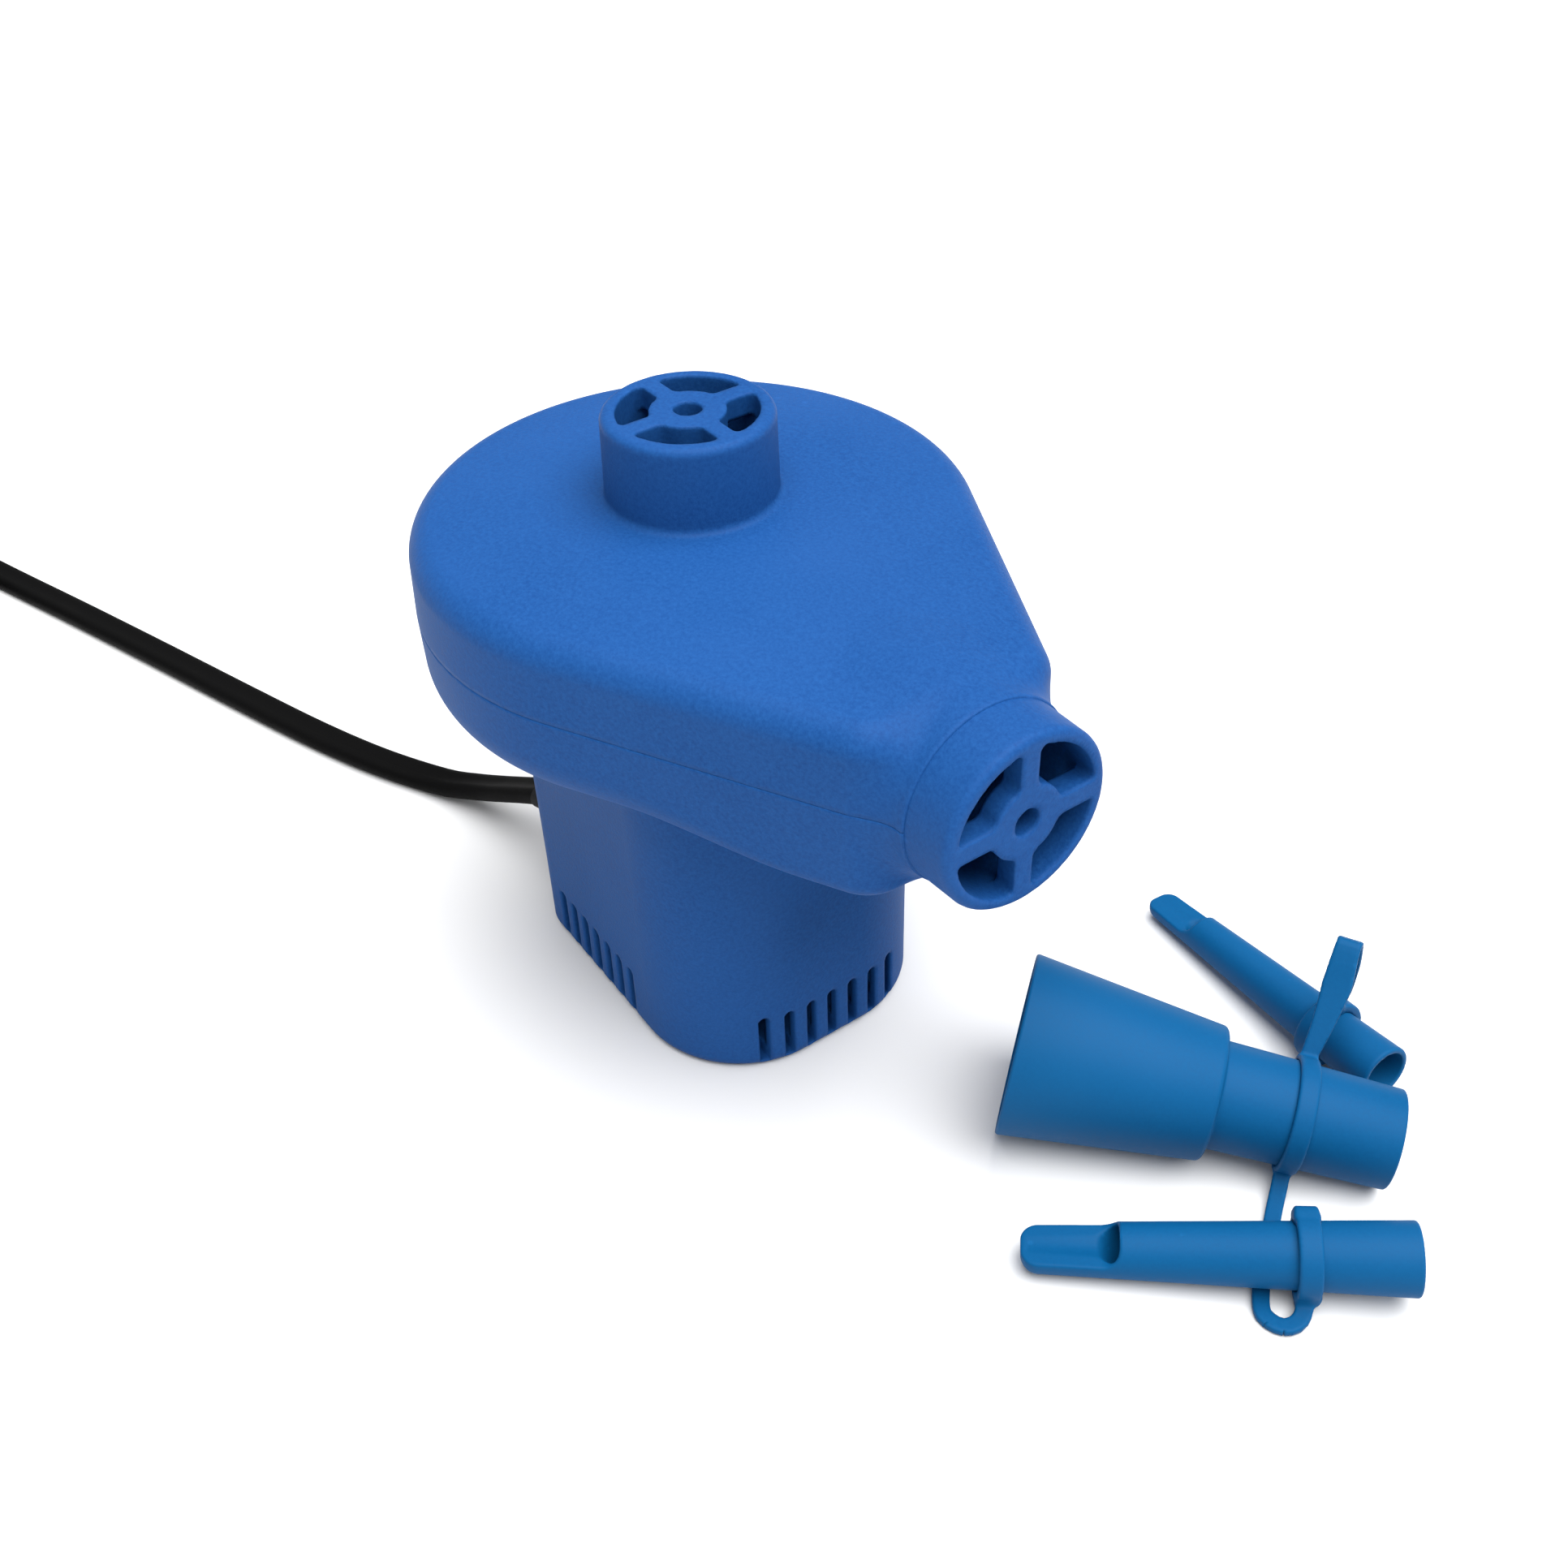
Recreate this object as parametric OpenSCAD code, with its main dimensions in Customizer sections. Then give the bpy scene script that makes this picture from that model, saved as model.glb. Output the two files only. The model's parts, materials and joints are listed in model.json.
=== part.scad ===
// Mains electric air pump for air mattresses. A centrifugal impeller turns in a round scroll on
// a vertical motor: it draws air in through the port on top and blows it out of the port in front.
// A set of tethered valve nozzles lies beside it.
// X points along the outlet, Z up the motor's axis. The origin is on that axis, under the base.

/* [Scroll] */
// Radius of the round part of the scroll
scroll_r = 48; // [46:0.5:50]
// Distance from the motor's axis to the flat end wall
end_x = 71.5; // [70:0.5:74]
// Half the width of the end wall
end_half_w = 20.4; // [19.5:0.1:21.5]
// Corner radius of the end wall
end_corner_r = 8.3; // [7:0.1:9]
// Height of the scroll's underside
scroll_z = 66.5; // [66:0.5:67]
// Height of the seam between the lower housing and the top cover, and of the outlet's axis
seam_z = 84; // [83.5:0.5:84.5]
// Height of the top cover's edge
top_z = 97.7; // [97:0.1:98.5]
// Rise of the crowned roof from its edge to the intake port
crown = 2.4; // [1:0.1:3]
// Thickness of the moulded walls
wall = 2.2; // [1.8:0.1:2.4]

/* [Motor well] */
// Distance from the axis back to the rear wall
well_back = 26; // [25.5:0.5:27]
// Distance from the axis forward to the front wall
well_front = 38.4; // [37:0.2:40]
// Half the width at the rear corners
well_half_w = 26.2; // [26:0.1:27]
// Radius of the rear corners
well_back_r = 7.6; // [6:0.1:9]
// Radius of the front corners
well_front_r = 21; // [20:0.5:22]
// Thickness of the base
base_t = 2.5; // [2:0.1:3]
// Number of cooling slots in each face that has them
slots = 7; // [5:1:8]
// Width of a cooling slot
slot_w = 2; // [1.6:0.1:2.6]
// Height of a cooling slot's bottom
slot_bottom = 1.2; // [0.8:0.1:2]
// Height of a cooling slot's top
slot_top = 12.6; // [10:0.1:14]
// Distance between the front face's slots
front_pitch = 4.7; // [4:0.05:5]
// Distance between each side face's slots
side_pitch = 4.35; // [4:0.05:5]

/* [Ports] */
// Outside radius of the intake port
intake_r = 14.5; // [13.8:0.1:15]
// Height of the intake port's rim
intake_z = 115.2; // [110:0.2:120]
// Outside radius of the outlet tube
outlet_r = 15.3; // [15:0.1:15.5]
// Distance from the axis to the outlet's rim
outlet_x = 85; // [83:0.5:88]
// Radius of the collar that the shells form round the outlet
collar_r = 16.2; // [16:0.1:16.6]
// Width of the four spokes of each grille
spoke_w = 3.4; // [2.6:0.1:5]
// Radius of the hub of each grille
grille_hub_r = 6.4; // [5:0.1:7]

/* [Motor] */
// Shaft radius
shaft_r = 2.5; // [2.4:0.1:2.6]
// Running clearance between the shaft and its bearings
running_gap = 0.05; // [0.02:0.01:0.1]
// Half the stator's size across the poles
stator_half_x = 20; // [19.5:0.5:20.5]
// Half the stator's size across the yoke
stator_half_y = 23; // [22.5:0.5:23]
// Height of the stator's underside
stator_z = 28.5; // [28:0.5:29]
// Height of the lamination stack
stack_h = 18; // [17:0.5:18]
// Armature radius
armature_r = 14.9; // [14.5:0.1:15.1]
// Commutator radius
commutator_r = 7.5; // [7:0.1:7.5]
// Impeller radius
impeller_r = 36; // [32:0.5:37]
// Number of impeller blades
blades = 9; // [7:1:12]

/* [Nozzles] */
// Outside radius of the adapter's wide mouth
mouth_r = 16.2; // [16.2:0.1:16.6]
// Length of the adapter's cone
cone_l = 34.8; // [32:0.2:38]
// Length of the whole adapter
adapter_l = 65.6; // [60:0.2:70]
// Wall thickness of the nozzles
nozzle_wall = 1; // [0.8:0.1:1.2]
// Outside radius of the large nozzle at its open end
large_open_r = 6.1; // [6:0.1:6.4]
// Outside radius of the small nozzle at its open end
small_open_r = 5.4; // [5.2:0.1:5.6]

/* [Mains lead] */
// Width of the flat twin cord
cord_w = 7.4; // [6.8:0.1:7.8]
// Thickness of the flat twin cord
cord_t = 3.8; // [3.2:0.1:4]
// Radius of the coil at the middle of its turns
coil_r = 38.5; // [36:0.5:42]

/* [Hidden] */
$fn = 96;

shell_blue = [0.08, 0.27, 0.62];
nozzle_blue = [0.02, 0.36, 0.62];
steel = [0.72, 0.73, 0.75];
black = [0.06, 0.06, 0.07];
copper = [0.72, 0.38, 0.18];
brass = [0.8, 0.64, 0.3];

// Plan outlines: circles [x, y, radius], counterclockwise, joined by their outer tangents
scroll_plan = [[0, 0, scroll_r],
    [end_x - end_corner_r, -(end_half_w - end_corner_r), end_corner_r],
    [end_x - end_corner_r, end_half_w - end_corner_r, end_corner_r]];
well_front_y = 6.4;
well_plan = [
    [-well_back + well_back_r, -(well_half_w - well_back_r), well_back_r],
    [well_front - well_front_r, -well_front_y, well_front_r],
    [well_front - well_front_r, well_front_y, well_front_r],
    [-well_back + well_back_r, well_half_w - well_back_r, well_back_r]];
slots_y = -0.4;
slots_x = -2.2;
neck_r = 14.4;
port_wall = 2.6;
grille_t = 3.6;
grille_sink = 0.4;
collar_end = outlet_x - 9;
plate_t = 2;
plate_z = scroll_z + wall;
plate_top = plate_z + plate_t;
plate_r = 38.5;
screw_r = 1.5;
pilot_r = 1.25;
head_r = 2.8;
head_t = 1.6;
cover_screw_places = [[-34, -26], [-34, 26], [50, -17], [50, 17]];
plate_screw_places = [[-19.8, -20.2], [-19.8, 20.2], [30.3, -15.3], [30.3, 15.3]];
boss_r = 3.6;
cover_boss_r = 4.1;
cover_seat_z = scroll_z + 4;
mount_places = [[0, -16], [0, 16]];
leg_places = [[-15.5, -18.5], [-15.5, 18.5], [15.5, -18.5], [15.5, 18.5]];
bolt_places = [[-15.5, -18.5], [15.5, 18.5]];
leg_r = 2.8;
stator_top = stator_z + stack_h;
lower_bracket_z = 5;
lower_plate_z = 7.5;
lower_plate_top = 10;
upper_plate_z = 54;
upper_plate_top = 56.5;
lower_bearing_r = 7;
upper_bearing_r = 8;
upper_bearing_z = 53;
bearing_w = 5;
shaft_top = 92;
fan_z = 11;
fan_h = 5;
fan_r = 15.5;
commutator_z = 17;
commutator_h = 7.5;
brush_z = 20.8;
winding_h = 3.5;
impeller_z = 74.5;
blade_top = 90;
switch_z = 58;
switch_h = 13;
switch_w = 9;
switch_depth = 12;
rocker_tilt = 10;
cord_exit = [-well_back, -13, 16.5];
relief_tip_x = -38;
coil_center = [-238.7, -125.3];
coil_lift = 1;
coil_h = 2 * cord_w + 0.2;
coil_band = 3 * cord_t + 0.6;
plug_angle = -90;
tail_from = -272;

// The lead's route from the strain relief to the coil, along the middle of the cord
cord_route = [[-38, -13.2, 16], [-42, -14, 14.7], [-46, -14.9, 13], [-51, -16.2, 10.7],
    [-56, -17.6, 8.4], [-61, -19.2, 6.3], [-66, -20.9, 4.4], [-71, -23, 2.9], [-77, -25.7, 2.1],
    [-86, -30.2, 2], [-96, -34.5, 2], [-110, -39.6, 2], [-130, -46, 2], [-160, -55.3, 2],
    [-190, -64.8, 2], [-220, -74.6, 2], [-235, -79.6, 2.6], [-251, -84.6, 4.7]];

// Where each nozzle lies: the middle of its open end, then of its tip
adapter_ends = [[70.7, 15.4, 16.1], [121.2, 56.6, 8.7]];
large_ends = [[139.6, 40.4, 8.6], [97.4, -6.4, 4.2]];
small_ends = [[110.2, 67.9, 7.8], [49.8, 72.7, 3.2]];
adapter_ring_at = 49;
large_ring_at = 17.4;
small_ring_at = 14;
ring_w = 4;
ring_wall = 1.5;
low_strap_w = 2.8;
high_strap_w = 4;
strap_t = 1.3;
// Middle lines of the tether's two straps, from the adapter's ring outwards
low_strap = [[111.7, 40.8, 3.2], [113.4, 38.3, 1.8], [115.4, 35.2, 1], [118, 31.4, 0.8],
    [121.6, 26.2, 0.8], [125.6, 20.8, 0.8], [129, 17.8, 0.8], [132.4, 18.6, 0.9], [133.2, 21.6, 1.2],
    [131.3, 25, 2.3]];
high_strap = [[104.2, 52.4, 16.8], [102.4, 56.4, 21.4], [100.6, 60.4, 26.4], [99, 63.6, 30.6],
    [97.9, 66, 32.4], [97.2, 67.4, 30.4], [96.8, 67.4, 26], [96.4, 67.8, 19.5], [95.9, 69, 12.2]];

// ---- Helpers ----

function tangent(a, b) =
    let (d = [b[0] - a[0], b[1] - a[1]])
    atan2(d[1], d[0]) - acos((a[2] - b[2]) / norm(d));

function on_circle(c, angle, grow) =
    [c[0] + (c[2] + grow) * cos(angle), c[1] + (c[2] + grow) * sin(angle)];

module outline(plan, grow = 0) {
    count = len(plan);
    for (c = plan) translate([c[0], c[1]]) circle(r = c[2] + grow);
    polygon([for (i = [0:count - 1])
        let (a = plan[i], b = plan[(i + 1) % count], t = tangent(a, b))
        each [on_circle(a, t, grow), on_circle(b, t, grow)]]);
}

module prism(plan, z0, z1, grow = 0) {
    translate([0, 0, z0]) linear_extrude(z1 - z0) outline(plan, grow);
}

module rod(r, z0, z1) {
    translate([0, 0, z0]) cylinder(r = r, h = z1 - z0);
}

module tube(r, bore, z0, z1) {
    difference() {
        rod(r, z0, z1);
        rod(bore, z0 - 1, z1 + 1);
    }
}

module at(places) {
    for (p = places) translate([p[0], p[1], 0]) children();
}

// A rod along +X at the outlet's height
module outlet_rod(r, x0, x1) {
    translate([x0, 0, seam_z]) rotate([0, 90, 0]) cylinder(r = r, h = x1 - x0);
}

module block(x, y, z) {
    translate([x[0], y[0], z[0]]) cube([x[1] - x[0], y[1] - y[0], z[1] - z[0]]);
}

// A flat grille of four spokes and a drilled hub
module grille(r) {
    hub_hole = 2.4;
    difference() {
        union() {
            for (a = [0, 90]) rotate(a) translate([-r, -spoke_w / 2, 0]) cube([2 * r, spoke_w, grille_t]);
            cylinder(r = grille_hub_r, h = grille_t);
        }
        translate([0, 0, -1]) cylinder(r = hub_hole, h = grille_t + 2);
    }
}

// Turns +Z towards `to` at `from`; local -X then points up
module along(from, to) {
    d = to - from;
    translate(from) rotate([0, acos(d[2] / norm(d)), atan2(d[1], d[0])]) children();
}

function unit(v) = v / norm(v);

function heading(path, i) =
    unit(path[min(i + 1, len(path) - 1)] - path[max(i - 1, 0)]);

// A point of the smooth curve through a, b, c and d, between b and c
function between(a, b, c, d, t) =
    b + t * (c - a) / 2 + t * t * (a - 2.5 * b + 2 * c - d / 2)
    + t * t * t * (1.5 * b - a / 2 - 1.5 * c + d / 2);

function smooth(path, steps) = let (last = len(path) - 1) concat(
    [for (i = [0:last - 1], k = [0:steps - 1])
        between(path[max(i - 1, 0)], path[i], path[i + 1], path[min(i + 2, last)], k / steps)],
    [path[last]]);

// Sweeps a closed section of [across, up] points along a path whose flat side faces `up`
module sweep(path, section, up = [0, 0, 1]) {
    sides = len(section);
    rings = len(path);
    points = [for (i = [0:rings - 1])
        let (t = heading(path, i), across = unit(cross(up, t)), rise = cross(t, across))
        for (s = section) path[i] + across * s[0] + rise * s[1]];
    faces = concat(
        [[for (k = [0:sides - 1]) k]],
        [[for (k = [0:sides - 1]) rings * sides - 1 - k]],
        [for (i = [0:rings - 2], k = [0:sides - 1])
            let (a = i * sides + k, b = i * sides + (k + 1) % sides) [a, a + sides, b + sides, b]]);
    polyhedron(points, faces, convexity = 8);
}

function smooth_step(t) = let (u = min(1, max(0, t))) u * u * (3 - 2 * u);

function oval(w, h, sides) =
    [for (k = [0:sides - 1]) let (a = 360 * (k + 0.5) / sides) [w / 2 * cos(a), h / 2 * sin(a)]];

function ribbon(w) = [for (c = [[1, 1], [-1, 1], [-1, -1], [1, -1]]) [c[0] * w / 2, c[1] * strap_t / 2]];

module lead(points) {
    sweep(smooth(points, 3), oval(1.6, 1.6, 8), up = [0.1, 0.05, 1]);
}

// ---- Housing ----

module slot_cutter(depth) {
    translate([-depth, -slot_w / 2, slot_bottom])
        cube([2 * depth, slot_w, slot_top - slot_w / 2 - slot_bottom]);
    translate([-depth, 0, slot_top - slot_w / 2]) rotate([0, 90, 0]) cylinder(r = slot_w / 2, h = 2 * depth);
}

module cooling_slots() {
    for (i = [0:slots - 1]) {
        step = i - (slots - 1) / 2;
        translate([well_front, slots_y + step * front_pitch, 0]) slot_cutter(5.5);
        for (side = [-1, 1])
            translate([slots_x + step * side_pitch, side * well_half_w, 0]) rotate(90) slot_cutter(5);
    }
}

module lower_housing() color(shell_blue) difference() {
    union() {
        difference() {
            union() {
                prism(well_plan, 0, scroll_z + 1);
                prism(scroll_plan, scroll_z, seam_z);
                intersection() {
                    outlet_rod(collar_r, end_x - wall, collar_end);
                    block([0, 100], [-50, 50], [scroll_z, seam_z]);
                }
            }
            prism(well_plan, base_t, seam_z, -wall);
            prism(scroll_plan, plate_z, seam_z + 1, -wall);
            cooling_slots();
        }
        at(plate_screw_places) rod(boss_r, 60, plate_z);
        at(cover_screw_places) rod(cover_boss_r, scroll_z, seam_z);
    }
    outlet_rod(neck_r, end_x - wall - 1, collar_end + 1);
    at(plate_screw_places) rod(pilot_r, 61, plate_z + 1);
    at(cover_screw_places) rod(screw_r + 0.2, scroll_z - 1, seam_z + 1);
    at(cover_screw_places) rod(head_r + 0.3, scroll_z - 1, cover_seat_z + head_t);
    block([-well_back - 1, -well_back + wall + 1], [-switch_w / 2, switch_w / 2],
        [switch_z - switch_h / 2, switch_z + switch_h / 2]);
    translate([-well_back - 1, cord_exit[1], cord_exit[2]]) rotate([0, 90, 0])
        cylinder(r = 4.2, h = wall + 2);
}

module top_cover() color(shell_blue) {
    rim = 0.7;
    difference() {
        union() {
            prism(scroll_plan, seam_z, top_z);
            translate([0, 0, top_z]) cylinder(r1 = scroll_r - 3, r2 = intake_r + 1, h = crown);
            rod(intake_r, top_z, intake_z - rim);
            translate([0, 0, intake_z - rim]) cylinder(r1 = intake_r, r2 = intake_r - rim, h = rim);
            intersection() {
                outlet_rod(collar_r, end_x - 10, collar_end);
                block([0, 100], [-50, 50], [seam_z, seam_z + 50]);
            }
        }
        prism(scroll_plan, seam_z - 1, top_z - wall, -wall);
        rod(intake_r - port_wall, top_z - wall - 1, intake_z + 1);
        outlet_rod(neck_r, end_x - wall - 1, collar_end + 1);
    }
    translate([0, 0, intake_z - grille_sink - grille_t]) grille(intake_r - port_wall + 0.4);
    difference() {
        at(cover_screw_places) rod(boss_r, seam_z, top_z - wall);
        at(cover_screw_places) rod(pilot_r, seam_z - 1, top_z - wall - 2);
    }
}

module outlet_tube() color(shell_blue) {
    bore = 13.2;
    rim = 0.8;
    difference() {
        union() {
            intersection() {
                outlet_rod(collar_r, end_x - wall - 3, end_x - wall);
                prism(scroll_plan, plate_z, top_z - wall, -wall);
            }
            outlet_rod(neck_r, end_x - wall - 3, collar_end);
            outlet_rod(outlet_r, collar_end, outlet_x - rim);
            translate([outlet_x - rim, 0, seam_z]) rotate([0, 90, 0])
                cylinder(r1 = outlet_r, r2 = outlet_r - rim, h = rim);
        }
        outlet_rod(bore, 0, 100);
        block([0, collar_end - 5], [-50, 50], [top_z - wall, 200]);
    }
    translate([outlet_x - grille_sink - grille_t, 0, seam_z]) rotate([0, 90, 0]) grille(bore + 0.4);
}

module volute_plate() color([0.85, 0.86, 0.84]) difference() {
    rod(plate_r, plate_z, plate_top);
    rod(6, 0, 100);
    at(plate_screw_places) rod(screw_r + 0.2, 0, 100);
    at(mount_places) rod(screw_r + 0.2, 0, 100);
}

module screw(top, length) {
    rod(head_r, top, top + head_t);
    rod(screw_r, top - length, top);
}

module cover_screws() color(steel) at(cover_screw_places) {
    rod(head_r, cover_seat_z, cover_seat_z + head_t);
    rod(screw_r, cover_seat_z, seam_z + 8);
}

module plate_screws() color(steel) at(plate_screw_places) screw(plate_top, 9);

module motor_mount_screws() color(steel) at(mount_places) screw(plate_top, 10);

// ---- Motor ----

module motor_cushion() color(black) tube(9, 4, base_t, lower_bracket_z);

module lower_bracket() color(steel) difference() {
    union() {
        rod(9.5, lower_bracket_z, lower_plate_top);
        intersection() {
            rod(22, lower_plate_z, lower_plate_top);
            block([-19, 19], [-22, 22], [0, 50]);
        }
        at(leg_places) rod(leg_r, lower_plate_z, stator_z);
    }
    rod(lower_bearing_r, 0, 50);
    at(bolt_places) rod(screw_r, 0, 50);
}

module upper_bracket() color(steel) difference() {
    union() {
        rod(upper_bearing_r + 1.5, upper_bearing_z, upper_bearing_z + bearing_w + 1);
        block([-9, 9], [-21, 21], [upper_plate_z, upper_plate_top]);
        for (y = [-18.5, 18.5]) block([-16, 16], [y - 2.5, y + 2.5], [upper_plate_z, upper_plate_top]);
        at(leg_places) rod(leg_r, stator_top, upper_plate_top);
        at(mount_places) rod(4, upper_plate_z, plate_z);
    }
    rod(upper_bearing_r, 0, upper_bearing_z + bearing_w);
    rod(4, 0, 100);
    at(bolt_places) rod(screw_r, 0, 100);
    at(mount_places) rod(pilot_r, 59, 100);
}

module lower_bearing() color(steel)
    tube(lower_bearing_r, shaft_r + running_gap, lower_bracket_z, lower_plate_top);

module upper_bearing() color(steel)
    tube(upper_bearing_r, shaft_r + running_gap, upper_bearing_z, upper_bearing_z + bearing_w);

module stator_core() color([0.45, 0.46, 0.48]) difference() {
    prism([for (c = [[-1, -1], [1, -1], [1, 1], [-1, 1]])
        [c[0] * (stator_half_x - 3), c[1] * (stator_half_y - 3), 3]], stator_z, stator_top);
    rod(armature_r + 0.6, 0, 100);
    block([-11, 11], [-18.6, 18.6], [0, 100]);
    at(bolt_places) rod(screw_r, 0, 100);
}

// Two coils, one round each pole: a bundle through each window and an arc across each end
module field_coils() color(copper) for (side = [0, 180]) rotate(side) {
    for (end_z = [stator_z - winding_h, stator_top]) intersection() {
        tube(19.4, 15.8, end_z, end_z + winding_h);
        block([6.6, 30], [-30, 30], [0, 100]);
    }
    for (y = [-1, 1]) translate([8.5, y * 16.4, 0])
        block([-1.9, 1.9], [-1.9, 1.9], [stator_z - winding_h, stator_top + winding_h]);
}

module motor_bolts() color(steel) at(bolt_places) {
    rod(screw_r, lower_plate_z - head_t, upper_plate_top);
    rod(head_r, lower_plate_z - head_t, lower_plate_z);
}

module brush_holders() color(brass) for (side = [90, -90]) rotate(side) {
    difference() {
        block([9.5, 20.5], [-3, 3], [brush_z - 3.4, brush_z + 3.4]);
        block([9, 19.5], [-2.1, 2.1], [brush_z - 2.5, brush_z + 2.5]);
    }
    block([16, 20.5], [-2, 2], [lower_plate_top, brush_z - 3.4]);
}

module carbon_brushes() color([0.2, 0.2, 0.21]) for (side = [90, -90]) rotate(side)
    block([commutator_r + 0.1, 15.5], [-2.1, 2.1], [brush_z - 2.5, brush_z + 2.5]);

module brush_springs() color(steel) for (side = [90, -90]) rotate(side) for (i = [0:4])
    translate([15.9 + i * 0.75, 0, brush_z]) rotate([0, 90, 0])
        rotate_extrude($fn = 32) translate([1.5, 0]) circle(r = 0.4, $fn = 16);

module capacitor() color([0.75, 0.62, 0.15]) block([22, 30], [-9, 9], [30, 44]);

// Live and neutral from the cord's end, then from the switch and the capacitor to the brushes
module internal_leads() {
    low = cord_exit[2];
    live_y = cord_exit[1] + 1.6;
    neutral_y = cord_exit[1] - 1.6;
    brush = [0.9, 22.2, brush_z + 1.5];
    color([0.35, 0.2, 0.12]) lead([[-18.6, live_y, low], [-17.8, -11, 19], [-19.6, -10.6, 22.5],
        [-21.6, -9.6, 28], [-21.9, -8, 46], [-19, -7.4, 51], [-12.6, -4.9, 53.6], [-9.9, -4.2, 54]]);
    color([0.15, 0.3, 0.65]) lead([[-18.6, neutral_y, low], [-17.8, -14.9, 19], [-18.9, -16.2, 21.8],
        [-20.6, -19.4, 22.8], [-19.2, -22.3, 23.4], [-13.6, -22.6, 24], [-6, -22.4, 22.6],
        [-brush[0], -brush[1], brush[2]]]);
    color([0.2, 0.2, 0.2]) lead([[-9.9, 4.2, 62], [-12.8, 8, 60], [-20, 9, 54], [-21.9, 10, 46],
        [-21.9, 12, 30], [-20.6, 18, 26.6], [-18.6, 22, 24.8], [-13, 22.6, 24.2], [-6, 22.4, 22.8],
        [-brush[0], brush[1], brush[2]]]);
    for (y = [-1, 1]) color([0.2, 0.2, 0.2]) lead([[25, 6 * y, 29.2], [22.6, 13 * y, 26.8],
        [19.8, 20 * y, 25], [14.5, 22.9 * y, 24], [6, 22.6 * y, 22.8], [brush[0], brush[1] * y, brush[2]]]);
}

// ---- Rotor ----

module motor_shaft() color(steel) rod(shaft_r, lower_bracket_z + 0.5, shaft_top);

module armature_core() color([0.45, 0.46, 0.48]) difference() {
    rod(armature_r, stator_z, stator_top);
    rod(shaft_r, 0, 100);
    for (i = [0:11]) rotate(i * 30) {
        translate([10.5, 0, 0]) rod(1.8, 0, 100);
        block([11, 20], [-0.8, 0.8], [0, 100]);
    }
}

module armature_winding() color(copper) {
    tube(12.2, 4, stator_z - winding_h + 0.5, stator_z);
    tube(12.2, 4, stator_top, stator_top + winding_h - 0.5);
    for (i = [0:11]) rotate(i * 30) translate([10.5, 0, 0]) rod(1.6, stator_z, stator_top);
}

module commutator() color(copper) difference() {
    rod(commutator_r, commutator_z, commutator_z + commutator_h);
    rod(shaft_r, 0, 100);
    for (i = [0:11]) rotate(15 + i * 30) block([commutator_r - 0.5, 10], [-0.3, 0.3], [0, 100]);
}

module cooling_fan() color([0.9, 0.9, 0.88]) difference() {
    union() {
        rod(5, fan_z, fan_z + fan_h);
        rod(fan_r, fan_z + fan_h - 1, fan_z + fan_h);
        for (i = [0:8]) rotate(i * 40) block([4, fan_r - 0.5], [-0.6, 0.6], [fan_z, fan_z + fan_h - 0.5]);
    }
    rod(shaft_r, 0, 100);
}

// A blade curved back against the way the impeller turns
module impeller_blade() {
    middle = [20, 13];
    sweep_angles = [for (i = [0:8]) 230 + i * 12.25];
    inner = [for (a = sweep_angles) middle + 16.8 * [cos(a), sin(a)]];
    outer = [for (i = [8:-1:0]) middle + 18 * [cos(sweep_angles[i]), sin(sweep_angles[i])]];
    translate([0, 0, impeller_z + 1]) linear_extrude(blade_top - impeller_z - 1)
        polygon(concat(inner, outer));
}

module impeller() color([0.92, 0.92, 0.9]) difference() {
    union() {
        rod(impeller_r, impeller_z, impeller_z + 1.5);
        rod(6, impeller_z, impeller_z + 12);
        for (i = [0:blades - 1]) rotate(i * 360 / blades) impeller_blade();
    }
    rod(shaft_r, 0, 100);
}

module impeller_washer() color(steel) tube(5, shaft_r, impeller_z + 12, impeller_z + 13);

module impeller_nut() color(steel) difference() {
    translate([0, 0, impeller_z + 13]) cylinder(r = 4.3, h = 3.2, $fn = 6);
    rod(shaft_r, 0, 100);
}

// ---- Switch ----

module switch_body() color(black) difference() {
    union() {
        block([-well_back - 1.2, -well_back], [-switch_w / 2 - 1.5, switch_w / 2 + 1.5],
            [switch_z - switch_h / 2 - 1.2, switch_z + switch_h / 2 + 1.2]);
        block([-well_back, -well_back + switch_depth], [-switch_w / 2, switch_w / 2],
            [switch_z - switch_h / 2, switch_z + switch_h / 2]);
    }
    block([-well_back - 2, -well_back + 7.5], [-3.4, 3.4], [switch_z - 5.5, switch_z + 5.5]);
}

module switch_terminals() color(brass) for (end = [-1, 1])
    block([-well_back + switch_depth, -well_back + switch_depth + 3.6], [end * 2.2 - 1.2, end * 2.2 + 1.2],
        [switch_z + end * 4 - 0.4, switch_z + end * 4 + 0.4]);

// The rocker is a disc sector that turns on its own middle, worn at rest with its lower half in
module switch_rocker() color(black) translate([-well_back + 1.6, 0, switch_z]) rotate([0, -rocker_tilt, 0])
    difference() {
        rotate([90, 0, 0]) translate([0, 0, -3.1]) cylinder(r = 5.1, h = 6.2);
        for (end = [-1, 1]) rotate([0, end * 12, 0])
            block([-10, -2.4], [-5, 5], [end > 0 ? 0 : -10, end > 0 ? 10 : 0]);
        block([2.5, 10], [-5, 5], [-10, 10]);
    }

// ---- Mains lead ----

module cord_clamp() color([0.9, 0.9, 0.88]) translate([-21.7, cord_exit[1], cord_exit[2]])
    difference() {
        block([0, 2.4], [-5, 5], [-3.5, 3.5]);
        for (y = [-1.6, 1.6]) translate([-1, y, 0]) rotate([0, 90, 0]) cylinder(r = 1.1, h = 5);
    }

module strain_relief() color(black) {
    length = -well_back - relief_tip_x;
    translate(cord_exit) rotate([0, -90, 0]) {
        translate([0, 0, -wall - 2]) cylinder(r = 5.2, h = 2);
        translate([0, 0, -wall]) cylinder(r = 4.2, h = wall);
        cylinder(r = 5.6, h = 2);
        translate([0, 0, 2]) cylinder(r1 = 5, r2 = 4.2, h = length - 2);
    }
}

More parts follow.
